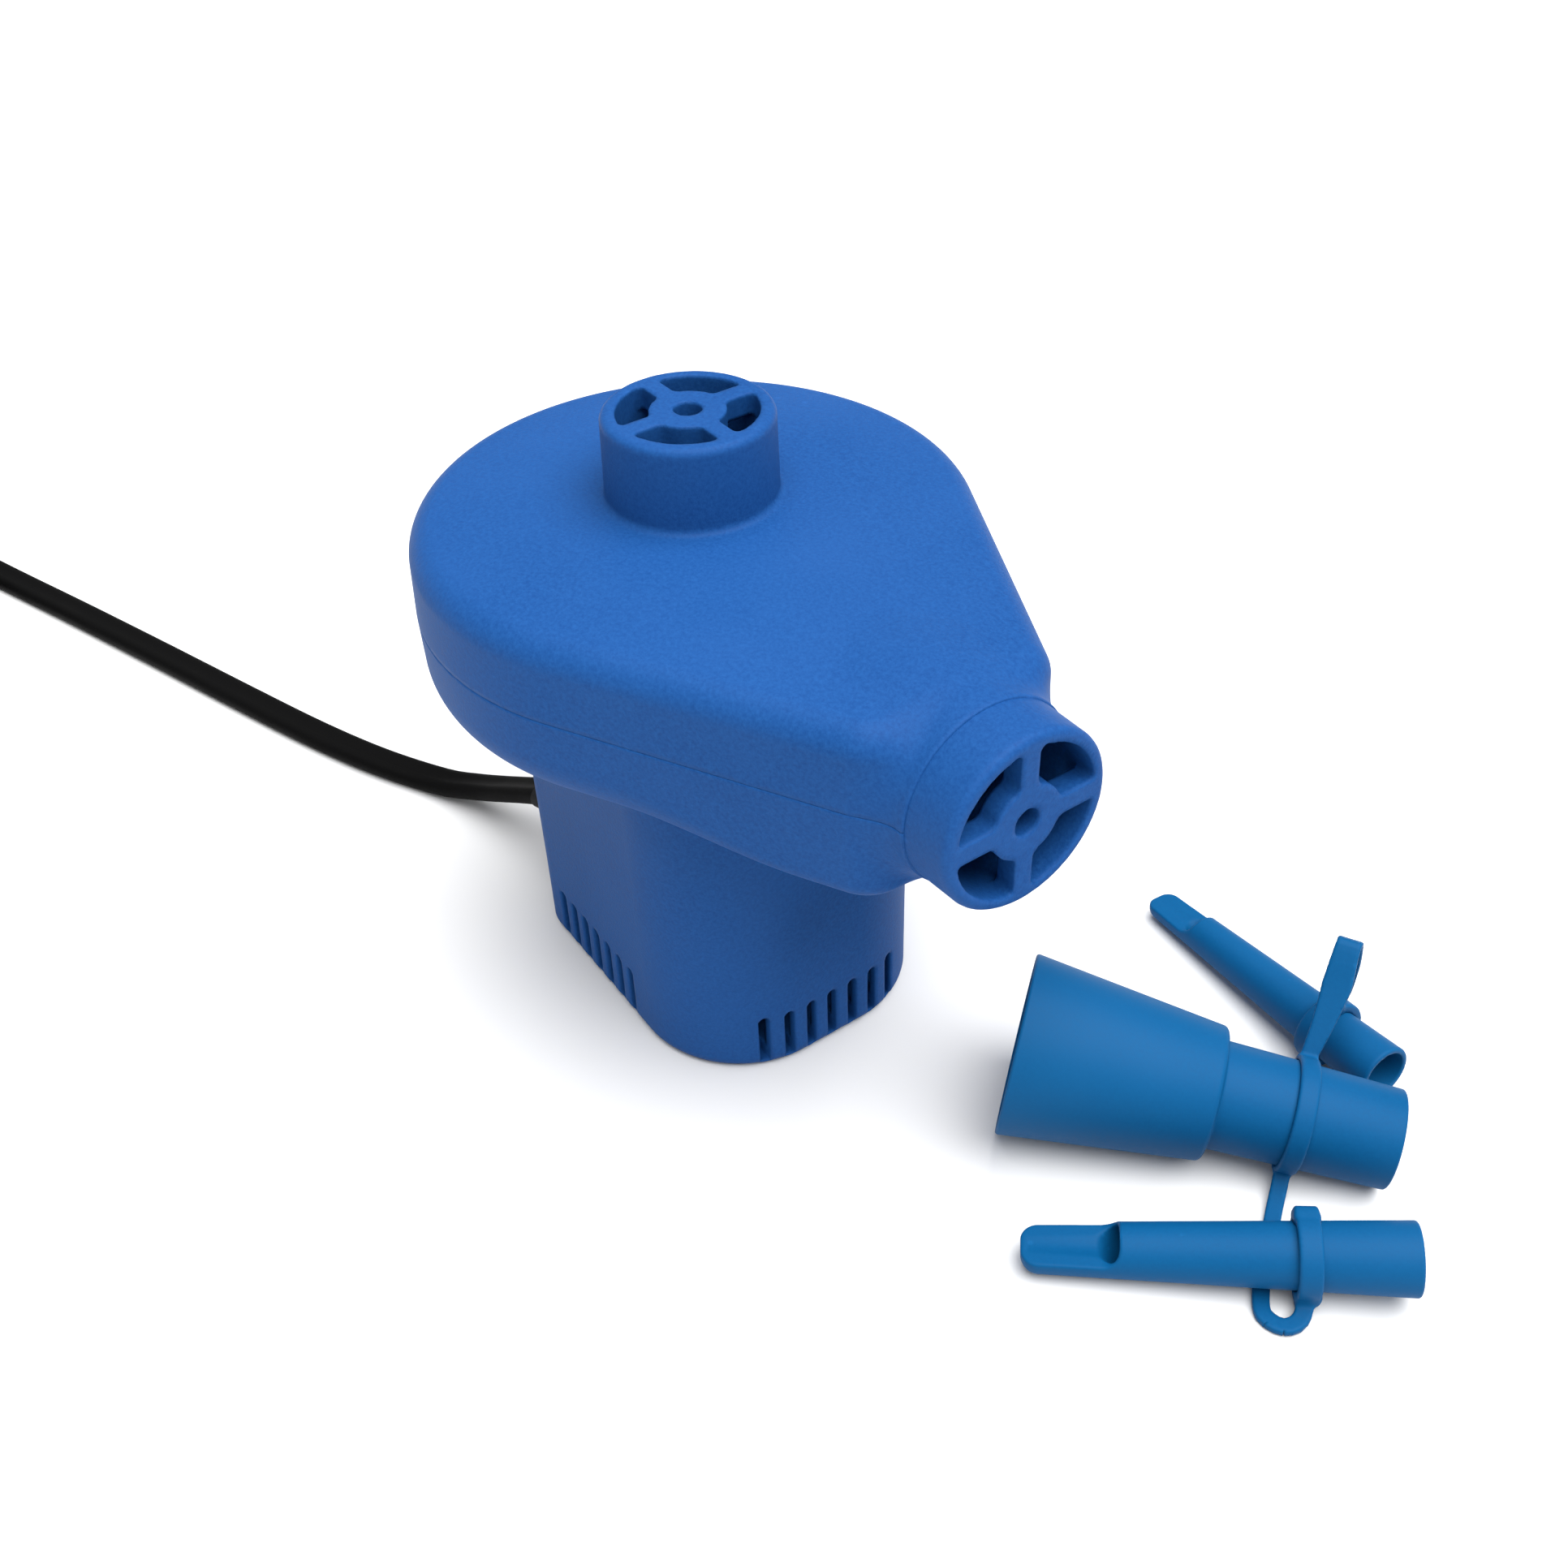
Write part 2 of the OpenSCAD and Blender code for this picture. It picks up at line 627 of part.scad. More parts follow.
module cord() color(black) sweep(cord_route, oval(cord_w, cord_t, 10));

module cord_coil() color(black) translate([coil_center[0], coil_center[1], coil_lift])
    rotate_extrude() translate([coil_r, 0]) {
        translate([-coil_band / 2, 1]) square([coil_band, coil_h - 2]);
        translate([-coil_band / 2 + 1, 0]) square([coil_band - 2, coil_h]);
    }

// The lead's last stretch comes up out of the coil, lies on its turns and meets the plug
module cord_tail() {
    lying = coil_lift + coil_h + 2;
    path = [for (i = [0:18]) let (
        a = tail_from + i * (plug_angle - 28 - tail_from) / 18,
        out = coil_r + 3.6 * (1 - smooth_step(i / 8)),
        z = lying - 4 + 4 * smooth_step(i / 4) + 5 * smooth_step((i - 13) / 5))
        [coil_center[0] + out * cos(a), coil_center[1] + out * sin(a), z]];
    color(black) sweep(path, oval(cord_w, cord_t, 10));
}

module cord_tie() color([0.12, 0.12, 0.13]) translate([coil_center[0], coil_center[1], 0]) rotate(60)
    difference() {
        block([coil_r - coil_band / 2 - 1, coil_r + coil_band / 2 + 1], [-4, 4], [0, coil_lift + coil_h + 1]);
        block([coil_r - coil_band / 2, coil_r + coil_band / 2], [-5, 5], [coil_lift, coil_lift + coil_h]);
    }

module on_coil() {
    translate([coil_center[0], coil_center[1], coil_lift + coil_h]) rotate(plug_angle)
        translate([coil_r, 0, 7]) rotate([-90, 0, 0]) children();
}

// A moulded two-pin plug that points along local +Z
module plug_body() color(black) on_coil() {
    translate([0, 0, -14]) cylinder(r1 = 4.4, r2 = 5.8, h = 8);
    block([-9, 9], [-7, 7], [-6, 12]);
}

module plug_blades() color(brass) on_coil() for (x = [-6.35, 6.35])
    block([x - 0.75, x + 0.75], [-3.15, 3.15], [12, 28.5]);

// ---- Nozzle set ----

module nozzle_tether() color(nozzle_blue) {
    ring = [[adapter_ends, adapter_ring_at, 9.25, 3.4, 0.9],
        [large_ends, large_ring_at, 5.75, ring_w, ring_wall],
        [small_ends, small_ring_at, 5.03, ring_w, ring_wall]];
    for (r = ring) along(r[0][0], r[0][1])
        tube(r[2] + r[4], r[2], r[1] - r[3] / 2, r[1] + r[3] / 2);
    sweep(smooth(low_strap, 3), ribbon(low_strap_w));
    sweep(smooth(high_strap, 3), ribbon(high_strap_w), up = [0.3, -0.9, 0.2]);
}

module valve_adapter() color(nozzle_blue) along(adapter_ends[0], adapter_ends[1]) {
    step_out = 11.8;
    step_in = 9.5;
    end_r = 8.7;
    rotate_extrude() polygon([
        [mouth_r, 0], [step_out, cone_l], [step_in, cone_l], [end_r, adapter_l],
        [end_r - nozzle_wall, adapter_l], [step_in - nozzle_wall, cone_l],
        [step_out - nozzle_wall, cone_l - nozzle_wall], [mouth_r - 0.8, 0]]);
}

module pinch_nozzle(ends, open_r, tip_r, cut_l) {
    length = norm(ends[1] - ends[0]);
    along(ends[0], ends[1]) difference() {
        cylinder(r1 = open_r, r2 = tip_r, h = length);
        translate([0, 0, -0.01])
            cylinder(r1 = open_r - nozzle_wall, r2 = tip_r - nozzle_wall, h = length + 0.02);
        block([-20, 0.1 * tip_r], [-20, 20], [length - cut_l, length + 1]);
    }
}

module large_nozzle() color(nozzle_blue) pinch_nozzle(large_ends, large_open_r, 4.1, 16);

module small_nozzle() color(nozzle_blue) pinch_nozzle(small_ends, small_open_r, 3.2, 13);

// ---- Show one node, or all ----

lower_housing();
top_cover();
outlet_tube();
volute_plate();
cover_screws();
plate_screws();
motor_cushion();
lower_bracket();
upper_bracket();
lower_bearing();
upper_bearing();
stator_core();
field_coils();
motor_bolts();
motor_mount_screws();
brush_holders();
carbon_brushes();
brush_springs();
capacitor();
internal_leads();
motor_shaft();
armature_core();
armature_winding();
commutator();
cooling_fan();
impeller();
impeller_washer();
impeller_nut();
switch_body();
switch_terminals();
switch_rocker();
cord_clamp();
strain_relief();
cord();
cord_coil();
cord_tail();
cord_tie();
plug_body();
plug_blades();
nozzle_tether();
valve_adapter();
large_nozzle();
small_nozzle();
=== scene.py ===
"""Electric air mattress pump: the visible shells, cord and nozzle set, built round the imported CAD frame.

The moulded shells are written as distance fields, in millimetres and negative inside, so that every edge
and every meeting of two forms has its own radius. surface() turns a field into a mesh.
"""

import json
import math

import bpy
import numpy as np
from mathutils import Matrix, Vector


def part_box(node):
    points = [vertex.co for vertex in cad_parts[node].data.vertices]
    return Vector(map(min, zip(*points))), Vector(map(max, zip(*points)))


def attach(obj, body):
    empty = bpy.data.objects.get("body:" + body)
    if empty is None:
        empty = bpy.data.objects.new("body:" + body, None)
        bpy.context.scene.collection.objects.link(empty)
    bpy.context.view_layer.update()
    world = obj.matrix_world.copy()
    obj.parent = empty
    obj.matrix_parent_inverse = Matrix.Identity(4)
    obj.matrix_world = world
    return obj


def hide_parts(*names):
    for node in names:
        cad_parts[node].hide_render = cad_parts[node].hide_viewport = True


MM = 0.001

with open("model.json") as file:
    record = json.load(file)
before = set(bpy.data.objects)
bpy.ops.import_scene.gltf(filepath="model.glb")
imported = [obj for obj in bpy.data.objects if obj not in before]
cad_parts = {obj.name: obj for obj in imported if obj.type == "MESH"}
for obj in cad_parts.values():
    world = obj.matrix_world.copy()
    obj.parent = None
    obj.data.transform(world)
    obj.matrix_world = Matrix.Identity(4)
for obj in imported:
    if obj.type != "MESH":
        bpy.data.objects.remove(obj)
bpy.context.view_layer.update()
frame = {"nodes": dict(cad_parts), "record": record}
nodes = frame["nodes"]


def box_mm(node):
    """The CAD node's lowest and highest corners, in millimetres."""
    low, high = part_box(node)
    return np.array(low) / MM, np.array(high) / MM


# ---- Driving dimensions, in millimetres ----

housing_low, housing_high = box_mm("lower_housing")
cover_low, cover_high = box_mm("top_cover")
tube_low, tube_high = box_mm("outlet_tube")

SCROLL_R = -cover_low[0]
SCROLL_END = 71.5
SCROLL_BOTTOM = 66.5
SEAM = housing_high[2]
ROOF = 97.7
CROWN = 2.4
WALL = 2.2
SEAM_GAP = 0.04
PORT_TOP = cover_high[2]
PORT_R = 14.5
PORT_BORE = PORT_R - 2.6
OUTLET_END = tube_high[0]
OUTLET_R = 15.3
COLLAR_R = 16.0
COLLAR_END = OUTLET_END - 9
COLLAR_LAP = 0.6
NECK_R = 14.4
OUTLET_BORE = 13.2
SPOKE_W = 3.4
HUB_R = 6.4
HUB_HOLE = 2.4
GRILLE_T = 4

WELL_REAR = -26
WELL_TOP = 67.0
WELL_BASE = 2.5
WELL_GROWTH = 1.18
WELL_LEAN = 1.1
SLOTS = 7
SLOT_W = 2.0
SLOT_BOTTOM = 1.2
SLOT_TOP = 12.6
FRONT_PITCH = 4.7
FRONT_MIDDLE = -0.4
SIDE_PITCH = 4.35
SIDE_MIDDLE = -2.2
COVER_SCREWS = [(-34, -26), (-34, 26), (50, -17), (50, 17)]
PLATE_SCREWS = [(-19.8, -20.2), (-19.8, 20.2), (30.3, -15.3), (30.3, 15.3)]
PLATE_POST_R = 3.6
COVER_POST_R = 4.1
ROOF_POST_R = 3.6
HEAD_R = 3.1
SCREW_HOLE_R = 1.7
SWITCH_Z = 58
CORD_Y, CORD_Z = -13, 16.5
CORD_HOLE_R = 4.2

SCROLL_PLAN = [(0, 0, SCROLL_R), (63.2, -12.1, 8.3), (63.2, 12.1, 8.3)]
WELL_PLAN = [(-18.4, -18.6, 7.6), (17.4, -6.4, 21), (17.4, 6.4, 21), (-18.4, 18.6, 7.6)]


# ---- Distance fields ----

def outline(plan, x, y):
    """Signed distance to the outline round circles (x, y, radius) joined by their outer tangents."""
    count = len(plan)
    normals = []
    for i, (cx, cy, r) in enumerate(plan):
        nx, ny, nr = plan[(i + 1) % count]
        gap = math.hypot(nx - cx, ny - cy)
        normals.append(math.atan2(ny - cy, nx - cx) - math.acos((r - nr) / gap))
    best = -np.inf
    for i, (cx, cy, r) in enumerate(plan):
        before, after = normals[i - 1], normals[i]
        best = np.maximum(best, (x - cx) * math.cos(after) + (y - cy) * math.sin(after) - r)
        turned = (np.arctan2(y - cy, x - cx) - before) % (2 * math.pi)
        on_arc = turned <= (after - before) % (2 * math.pi)
        best = np.maximum(best, np.where(on_arc, np.hypot(x - cx, y - cy) - r, -np.inf))
    return best


def both(a, b, r=0.0):
    """What two fields share, with its edge rounded to radius r."""
    if not np.any(r):
        return np.maximum(a, b)
    return np.minimum(np.maximum(a, b), -r) + np.hypot(np.maximum(a + r, 0), np.maximum(b + r, 0))


def joined(a, b, r=0.0):
    """Two fields as one, with a fillet of radius r where they meet."""
    return -both(-a, -b, r)


def cut(a, b, r=0.0):
    """The first field without the second, with the cut's edge rounded to radius r."""
    return both(a, -b, r)


def span(t, low, high, r=0.0):
    """Distance to the slab between two values of one coordinate."""
    return both(low - t, t - high, r)


def brick(x, y, z, low, high, r=0.3):
    """Distance to a box with rounded edges."""
    return both(both(span(x, low[0], high[0]), span(y, low[1], high[1]), r), span(z, low[2], high[2]), r)


def ease(t):
    t = np.clip(t, 0, 1)
    return t * t * (3 - 2 * t)


def slopes(field, points, small=0.004):
    """Unit slope of the field at each point."""
    slope = np.stack([field(*(points + small * way).T) - field(*(points - small * way).T)
                      for way in np.eye(3)], 1)
    return slope / np.maximum(np.linalg.norm(slope, axis=1), 1e-9)[:, None]


def crossing(field, start, way, step, before, after):
    """Where the field is zero on each grid edge, from its values at the edge's two ends."""
    low, high = np.zeros(len(start)), np.ones(len(start))
    for _ in range(3):
        t = low + (high - low) * before / (before - after)
        value = field(*(start + t[:, None] * way * step).T)
        same = (value < 0) == (before < 0)
        low, before = np.where(same, t, low), np.where(same, value, before)
        high, after = np.where(same, high, t), np.where(same, after, value)
        after = np.where(before == after, after + 1e-9, after)
    return start + t[:, None] * way * step


def surface(field, low, high, step):
    """Vertices and quads of the field's zero surface inside a box, with its sharp edges kept.

    Each grid cell that the surface passes through gets one vertex: the point nearest to the planes that
    touch the surface where it crosses the cell's edges.
    """
    axes = [np.arange(low[i] - step, high[i] + 1.5 * step, step) for i in range(3)]
    origin = np.array([a[0] for a in axes])
    shape = [len(a) for a in axes]
    values = np.empty(shape, np.float32)
    for i in range(0, shape[0], 16):
        x = axes[0][i:i + 16, None, None]
        values[i:i + 16] = np.broadcast_to(
            field(x, axes[1][None, :, None], axes[2][None, None, :]), values[i:i + 16].shape)
    inside = values < 0
    cells = [n - 1 for n in shape]
    filled = sum(inside[i:i + cells[0], j:j + cells[1], k:k + cells[2]].astype(np.uint8)
                 for i in (0, 1) for j in (0, 1) for k in (0, 1))
    crossed = np.argwhere((filled > 0) & (filled < 8))
    index = np.full(cells, -1, np.int64)
    index[tuple(crossed.T)] = np.arange(len(crossed))

    sums = np.zeros((len(crossed), 13))
    faces = []
    for axis in range(3):
        u, v = (axis + 1) % 3, (axis + 2) % 3
        first = np.moveaxis(inside, (axis, u, v), (0, 1, 2))
        where = np.argwhere(first[:-1, 1:-1, 1:-1] != first[1:, 1:-1, 1:-1])
        grid = np.empty((len(where), 3), np.int64)
        grid[:, axis], grid[:, u], grid[:, v] = where[:, 0], where[:, 1] + 1, where[:, 2] + 1
        way = np.eye(3, dtype=np.int64)[axis]
        before = values[tuple(grid.T)].astype(float)
        after = values[tuple((grid + way).T)].astype(float)
        points = crossing(field, origin + grid * step, way, step, before, after)
        normals = slopes(field, points)
        flat = (normals * points).sum(1)
        products = [normals[:, a] * normals[:, b] for a, b in ((0, 0), (0, 1), (0, 2), (1, 1), (1, 2), (2, 2))]
        terms = np.column_stack([np.ones(len(points)), points, *products, normals * flat[:, None]])
        ring = []
        for du, dv in ((0, 0), (1, 0), (1, 1), (0, 1)):
            cell = grid.copy()
            cell[:, u] += du - 1
            cell[:, v] += dv - 1
            ring.append(index[tuple(cell.T)])
            for k in range(13):
                sums[:, k] += np.bincount(ring[-1], terms[:, k], len(crossed))
        ring = np.stack(ring, 1)
        faces.append(np.where((before < 0)[:, None], ring, ring[:, ::-1]))

    hits, middle = sums[:, 0], sums[:, 1:4] / sums[:, :1]
    planes = sums[:, (4, 5, 6, 5, 7, 8, 6, 8, 9)].reshape(-1, 3, 3)
    pull = sums[:, 10:] - (planes @ middle[:, :, None])[:, :, 0]
    planes = planes + 0.03 * hits[:, None, None] * np.eye(3)
    move = np.linalg.solve(planes, pull[:, :, None])[:, :, 0]
    move /= np.maximum(np.abs(move).max(1) / (0.7 * step), 1)[:, None]
    return middle + move, np.concatenate(faces)


# ---- Mesh helpers ----

def add(name, points, faces, material, body, place=None, smooth_angle=None):
    """A new piece from points in millimetres, riding on a body."""
    mesh = bpy.data.meshes.new(name)
    mesh.from_pydata((np.asarray(points) * MM).tolist(), [], [list(map(int, f)) for f in faces])
    if place is not None:
        mesh.transform(place)
    mesh.validate()
    mesh.shade_smooth()
    if smooth_angle:
        mesh.set_sharp_from_angle(angle=math.radians(smooth_angle))
    piece = bpy.data.objects.new(name, mesh)
    bpy.context.scene.collection.objects.link(piece)
    mesh.materials.append(material)
    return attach(piece, body)


def moulded(name, field, low, high, step, material, body, place=None):
    """A moulded piece from its distance field."""
    points, faces = surface(field, low, high, step)
    return add(name, points, faces, material, body, place)


def applied(piece):
    """Turns the piece's modifiers into its mesh."""
    graph = bpy.context.evaluated_depsgraph_get()
    result = bpy.data.meshes.new_from_object(
        piece.evaluated_get(graph), preserve_all_data_layers=True, depsgraph=graph)
    piece.modifiers.clear()
    piece.data = result
    return piece


def lathe(profile, sides=96):
    """Points and quads of a closed profile of (radius, height) points turned about +Z."""
    turns = np.linspace(0, 2 * math.pi, sides, endpoint=False)
    points = [(r * math.cos(a), r * math.sin(a), z) for a in turns for r, z in profile]
    count = len(profile)
    faces = [(i * count + k, ((i + 1) % sides) * count + k,
              ((i + 1) % sides) * count + (k + 1) % count, i * count + (k + 1) % count)
             for i in range(sides) for k in range(count)]
    return points, faces


def rounded(corners, steps=5):
    """A closed profile with each corner (x, y, radius) turned into an arc."""
    line = []
    count = len(corners)
    for i, (x, y, r) in enumerate(corners):
        p = np.array([x, y], float)
        a = np.array(corners[i - 1][:2], float) - p
        b = np.array(corners[(i + 1) % count][:2], float) - p
        if r == 0:
            line.append(p)
            continue
        a, b = a / np.linalg.norm(a), b / np.linalg.norm(b)
        half = math.acos(np.clip(a @ b, -1, 1)) / 2
        start, end = p + a * r / math.tan(half), p + b * r / math.tan(half)
        middle = p + (a + b) / np.linalg.norm(a + b) * r / math.sin(half)
        for t in np.linspace(0, 1, steps):
            arm = (1 - t) * (start - middle) + t * (end - middle)
            line.append(middle + arm / np.linalg.norm(arm) * r)
    return [tuple(p) for p in line]


def smooth_path(points, spacing):
    """Points of a smooth curve through given ones, about that far apart."""
    points = np.array(points, float)
    ends = np.vstack([2 * points[0] - points[1], points, 2 * points[-1] - points[-2]])
    line = []
    for i in range(1, len(ends) - 2):
        a, b, c, d = ends[i - 1:i + 3]
        steps = max(2, int(np.linalg.norm(c - b) / spacing))
        for t in np.arange(steps) / steps:
            line.append(b + t * (c - a) / 2 + t * t * (a - 2.5 * b + 2 * c - d / 2)
                        + t ** 3 * (1.5 * b - a / 2 - 1.5 * c + d / 2))
    return np.array(line + [points[-1]])


def swept(path, section, ups):
    """A closed tube: section points (across, up) carried along a path whose upward sides are given."""
    heading = np.gradient(path, axis=0)
    heading /= np.linalg.norm(heading, axis=1)[:, None]
    across = np.cross(ups, heading)
    across /= np.linalg.norm(across, axis=1)[:, None]
    rise = np.cross(heading, across)
    points = [p + a * s[0] + r * s[1] for p, a, r in zip(path, across, rise) for s in section]
    sides, rings = len(section), len(path)
    faces = [(a + k, a + sides + k, a + sides + (k + 1) % sides, a + (k + 1) % sides)
             for a in range(0, (rings - 1) * sides, sides) for k in range(sides)]
    faces += [tuple(range(sides)), tuple(rings * sides - 1 - k for k in range(sides))]
    return points, faces


def along(start, end):
    """Places a piece modelled on +Z so that it runs from start to end, with its -X side up."""
    z = (Vector(end) - Vector(start)).normalized()
    y = Vector((-z[1], z[0], 0)).normalized()
    x = y.cross(z)
    turn = Matrix((x, y, z)).transposed().to_4x4()
    return Matrix.Translation(Vector(start) * MM) @ turn


# ---- Materials ----

class Nodes:
    """A material's node tree with short names for adding and wiring nodes."""

    def __init__(self, name, color, roughness, metallic=0.0):
        self.material = bpy.data.materials.new(name)
        self.material.use_nodes = True
        self.tree = self.material.node_tree
        self.shader = self.tree.nodes["Principled BSDF"]
        self.shader.inputs["Base Color"].default_value = (*color, 1)
        self.shader.inputs["Roughness"].default_value = roughness
        self.shader.inputs["Metallic"].default_value = metallic
        self.where = self.new("ShaderNodeTexCoord").outputs["Object"]

    def new(self, kind, **settings):
        node = self.tree.nodes.new(kind)
        for key, value in settings.items():
            setattr(node, key, value)
        return node

    def wire(self, out, into):
        self.tree.links.new(out, into)

    def noise(self, scale, detail=2.0, roughness=0.5, stretch=None):
        """A noise value from 0 to 1, with its scale per metre."""
        node = self.new("ShaderNodeTexNoise")
        node.inputs["Scale"].default_value = scale
        node.inputs["Detail"].default_value = detail
        node.inputs["Roughness"].default_value = roughness
        source = self.where
        if stretch:
            mapping = self.new("ShaderNodeMapping")
            mapping.inputs["Scale"].default_value = stretch
            self.wire(source, mapping.inputs["Vector"])
            source = mapping.outputs["Vector"]
        self.wire(source, node.inputs["Vector"])
        return node.outputs["Fac"]

    def remap(self, value, low, high, to_low, to_high):
        """The value carried from one range to another, and held inside it."""
        node = self.new("ShaderNodeMapRange")
        for key, number in zip(("From Min", "From Max", "To Min", "To Max"), (low, high, to_low, to_high)):
            node.inputs[key].default_value = number
        self.wire(value, node.inputs["Value"])
        return node.outputs["Result"]

    def mix(self, factor, a, b):
        """A colour between a and b, each a colour or another node's output."""
        node = self.new("ShaderNodeMix", data_type="RGBA")
        self.wire(factor, node.inputs["Factor"])
        for value, slot in ((a, node.inputs[6]), (b, node.inputs[7])):
            if isinstance(value, tuple):
                slot.default_value = (*value, 1)
            else:
                self.wire(value, slot)
        return node.outputs[2]

    def bump(self, height, distance, strength=1.0, below=None):
        node = self.new("ShaderNodeBump")
        node.inputs["Distance"].default_value = distance
        node.inputs["Strength"].default_value = strength
        self.wire(height, node.inputs["Height"])
        if below is not None:
            self.wire(below, node.inputs["Normal"])
        return node.outputs["Normal"]

    def colored(self, value):
        self.wire(value, self.shader.inputs["Base Color"])

    def rough(self, value):
        self.wire(value, self.shader.inputs["Roughness"])

    def faced(self, value):
        self.wire(value, self.shader.inputs["Normal"])


def moulded_plastic(name, color, shade, roughness, grain):
    """Matt moulded plastic: a fine grain, faint flow marks, and convex edges made a little paler, partly as
    wear and partly as a painted highlight.
    """
    m = Nodes(name, color, roughness)
    fine = m.noise(1500, detail=4, roughness=0.7)
    broad = m.noise(22, detail=2)
    speckle = m.mix(m.remap(fine, 0.32, 0.68, 0, 1), shade, color)
    pale = tuple(min(1, c * 1.12 + 0.006) for c in color)
    marked = m.mix(m.remap(broad, 0.35, 0.7, 0, 0.35), speckle, pale)
    # Convex edges are made paler: partly wear, partly a painted highlight along the edges.
    edge = m.new("ShaderNodeNewGeometry").outputs["Pointiness"]
    worn_and_highlit = tuple(min(1, c * 1.25 + 0.003) for c in color)
    m.colored(m.mix(m.remap(edge, 0.54, 0.66, 0, 0.5), marked, worn_and_highlit))
    m.shader.inputs["Specular IOR Level"].default_value = 0.07
    m.rough(m.remap(fine, 0.2, 0.8, roughness - 0.05, roughness + 0.08))
    m.faced(m.bump(fine, grain, 0.6, m.bump(broad, 0.0004, 0.15)))
    return m.material


def rubber(name, color, roughness):
    """Black rubber or vinyl with a soft bloom and a fine skin texture."""
    m = Nodes(name, color, roughness)
    skin = m.noise(1500, detail=2)
    dust = m.noise(60, detail=3)
    pale = tuple(c * 1.8 for c in color)
    m.colored(m.mix(m.remap(dust, 0.45, 0.75, 0, 0.6), color, pale))
    m.shader.inputs["Specular IOR Level"].default_value = 0.06
    m.rough(m.remap(dust, 0.3, 0.7, roughness - 0.05, roughness + 0.12))
    m.faced(m.bump(skin, 0.00004, 0.5))
    return m.material


def metal(name, color, roughness, stretch=(1, 1, 14)):
    """Worked metal with fine tool marks and a little tarnish."""
    m = Nodes(name, color, roughness, metallic=1)
    marks = m.noise(900, detail=2, stretch=stretch)
    tarnish = m.noise(90, detail=3)
    dull = tuple(c * 0.72 for c in color)
    m.colored(m.mix(m.remap(tarnish, 0.4, 0.75, 0, 0.8), color, dull))
    m.rough(m.remap(marks, 0.3, 0.7, roughness - 0.06, roughness + 0.12))
    m.faced(m.bump(marks, 0.00003, 0.4))
    return m.material


def wound_wire(name, color):
    """Enamelled wire: fine parallel turns with a clear coat, and painted shade in the grooves between the
    turns.
    """
    m = Nodes(name, color, 0.3, metallic=0.85)
    wave = m.new("ShaderNodeTexWave", wave_type="BANDS", bands_direction="Z")
    wave.inputs["Scale"].default_value = 500
    wave.inputs["Distortion"].default_value = 1.2
    m.wire(m.where, wave.inputs["Vector"])
    turns = wave.outputs["Fac"]
    # The grooves between the turns are darkened: painted shade.
    m.colored(m.mix(turns, tuple(c * 0.45 for c in color), color))
    m.faced(m.bump(turns, 0.00015, 0.7))
    m.shader.inputs["Coat Weight"].default_value = 0.5
    return m.material


def laminated(name, color):
    """A stack of thin steel sheets."""
    m = Nodes(name, color, 0.45, metallic=0.9)
    wave = m.new("ShaderNodeTexWave", wave_type="BANDS", bands_direction="Z")
    wave.inputs["Scale"].default_value = 300
    m.wire(m.where, wave.inputs["Vector"])
    sheets = wave.outputs["Fac"]
    rust = m.noise(120, detail=4)
    m.colored(m.mix(m.remap(rust, 0.5, 0.8, 0, 0.7), color, (0.16, 0.09, 0.05)))
    m.faced(m.bump(sheets, 0.0001, 0.5))
    return m.material


def webbing(name, color):
    """A woven hook-and-loop strap."""
    m = Nodes(name, color, 0.85)
    fibres = m.noise(900, detail=3, stretch=(1, 1, 3))
    m.colored(m.mix(fibres, tuple(c * 0.5 for c in color), tuple(c * 1.9 for c in color)))
    m.faced(m.bump(fibres, 0.0003, 0.9))
    m.shader.inputs["Sheen Weight"].default_value = 0.4
    return m.material


shell_blue = moulded_plastic("shell_blue", (0.01, 0.069, 0.238), (0.005, 0.0455, 0.18), 0.52, 0.0001)
nozzle_blue = moulded_plastic("nozzle_blue", (0.001, 0.07, 0.19), (0.001, 0.063, 0.175), 0.5, 0.00003)
cream = moulded_plastic("cream_nylon", (0.78, 0.75, 0.66), (0.7, 0.66, 0.56), 0.5, 0.00004)
carbon = moulded_plastic("pressed_carbon", (0.03, 0.03, 0.033), (0.015, 0.015, 0.017), 0.6, 0.00005)
yellow_case = moulded_plastic("capacitor_case", (0.55, 0.36, 0.04), (0.45, 0.28, 0.03), 0.3, 0.00003)
switch_black = moulded_plastic("switch_black", (0.014, 0.014, 0.016), (0.009, 0.009, 0.01), 0.3, 0.00003)
black_rubber = rubber("black_rubber", (0.012, 0.012, 0.013), 0.5)
cord_black = rubber("cord_vinyl", (0.0008, 0.0008, 0.0009), 0.6)
sleeve = rubber("lead_sleeve", (0.08, 0.05, 0.04), 0.5)
steel = metal("steel", (0.6, 0.61, 0.63), 0.3)
zinc = metal("zinc_plate", (0.66, 0.67, 0.66), 0.42, stretch=(1, 1, 1))
brass = metal("brass", (0.74, 0.55, 0.25), 0.28)
copper = metal("copper", (0.72, 0.33, 0.16), 0.3)
winding = wound_wire("winding_wire", (0.6, 0.22, 0.07))
core = laminated("core_steel", (0.3, 0.31, 0.33))
tie_cloth = webbing("tie_cloth", (0.02, 0.02, 0.022))

FINISHES = {
    "shell_plastic": shell_blue, "nozzle_plastic": nozzle_blue, "zinc_plate": zinc, "steel": steel,
    "lamination": core, "copper": winding, "brass": brass, "carbon": carbon, "cream_plastic": cream,
    "capacitor_case": yellow_case, "lead_insulation": sleeve, "black_rubber": black_rubber,
    "cord_jacket": cord_black, "tie_fabric": tie_cloth, "switch_plastic": switch_black}
for part in frame["record"]["subparts"]:
    mesh = nodes[part["node"]].data
    mesh.materials.clear()
    mesh.materials.append(FINISHES[part["material_slot"]])
nodes["commutator"].data.materials[0] = copper


# ---- The moulded housing ----

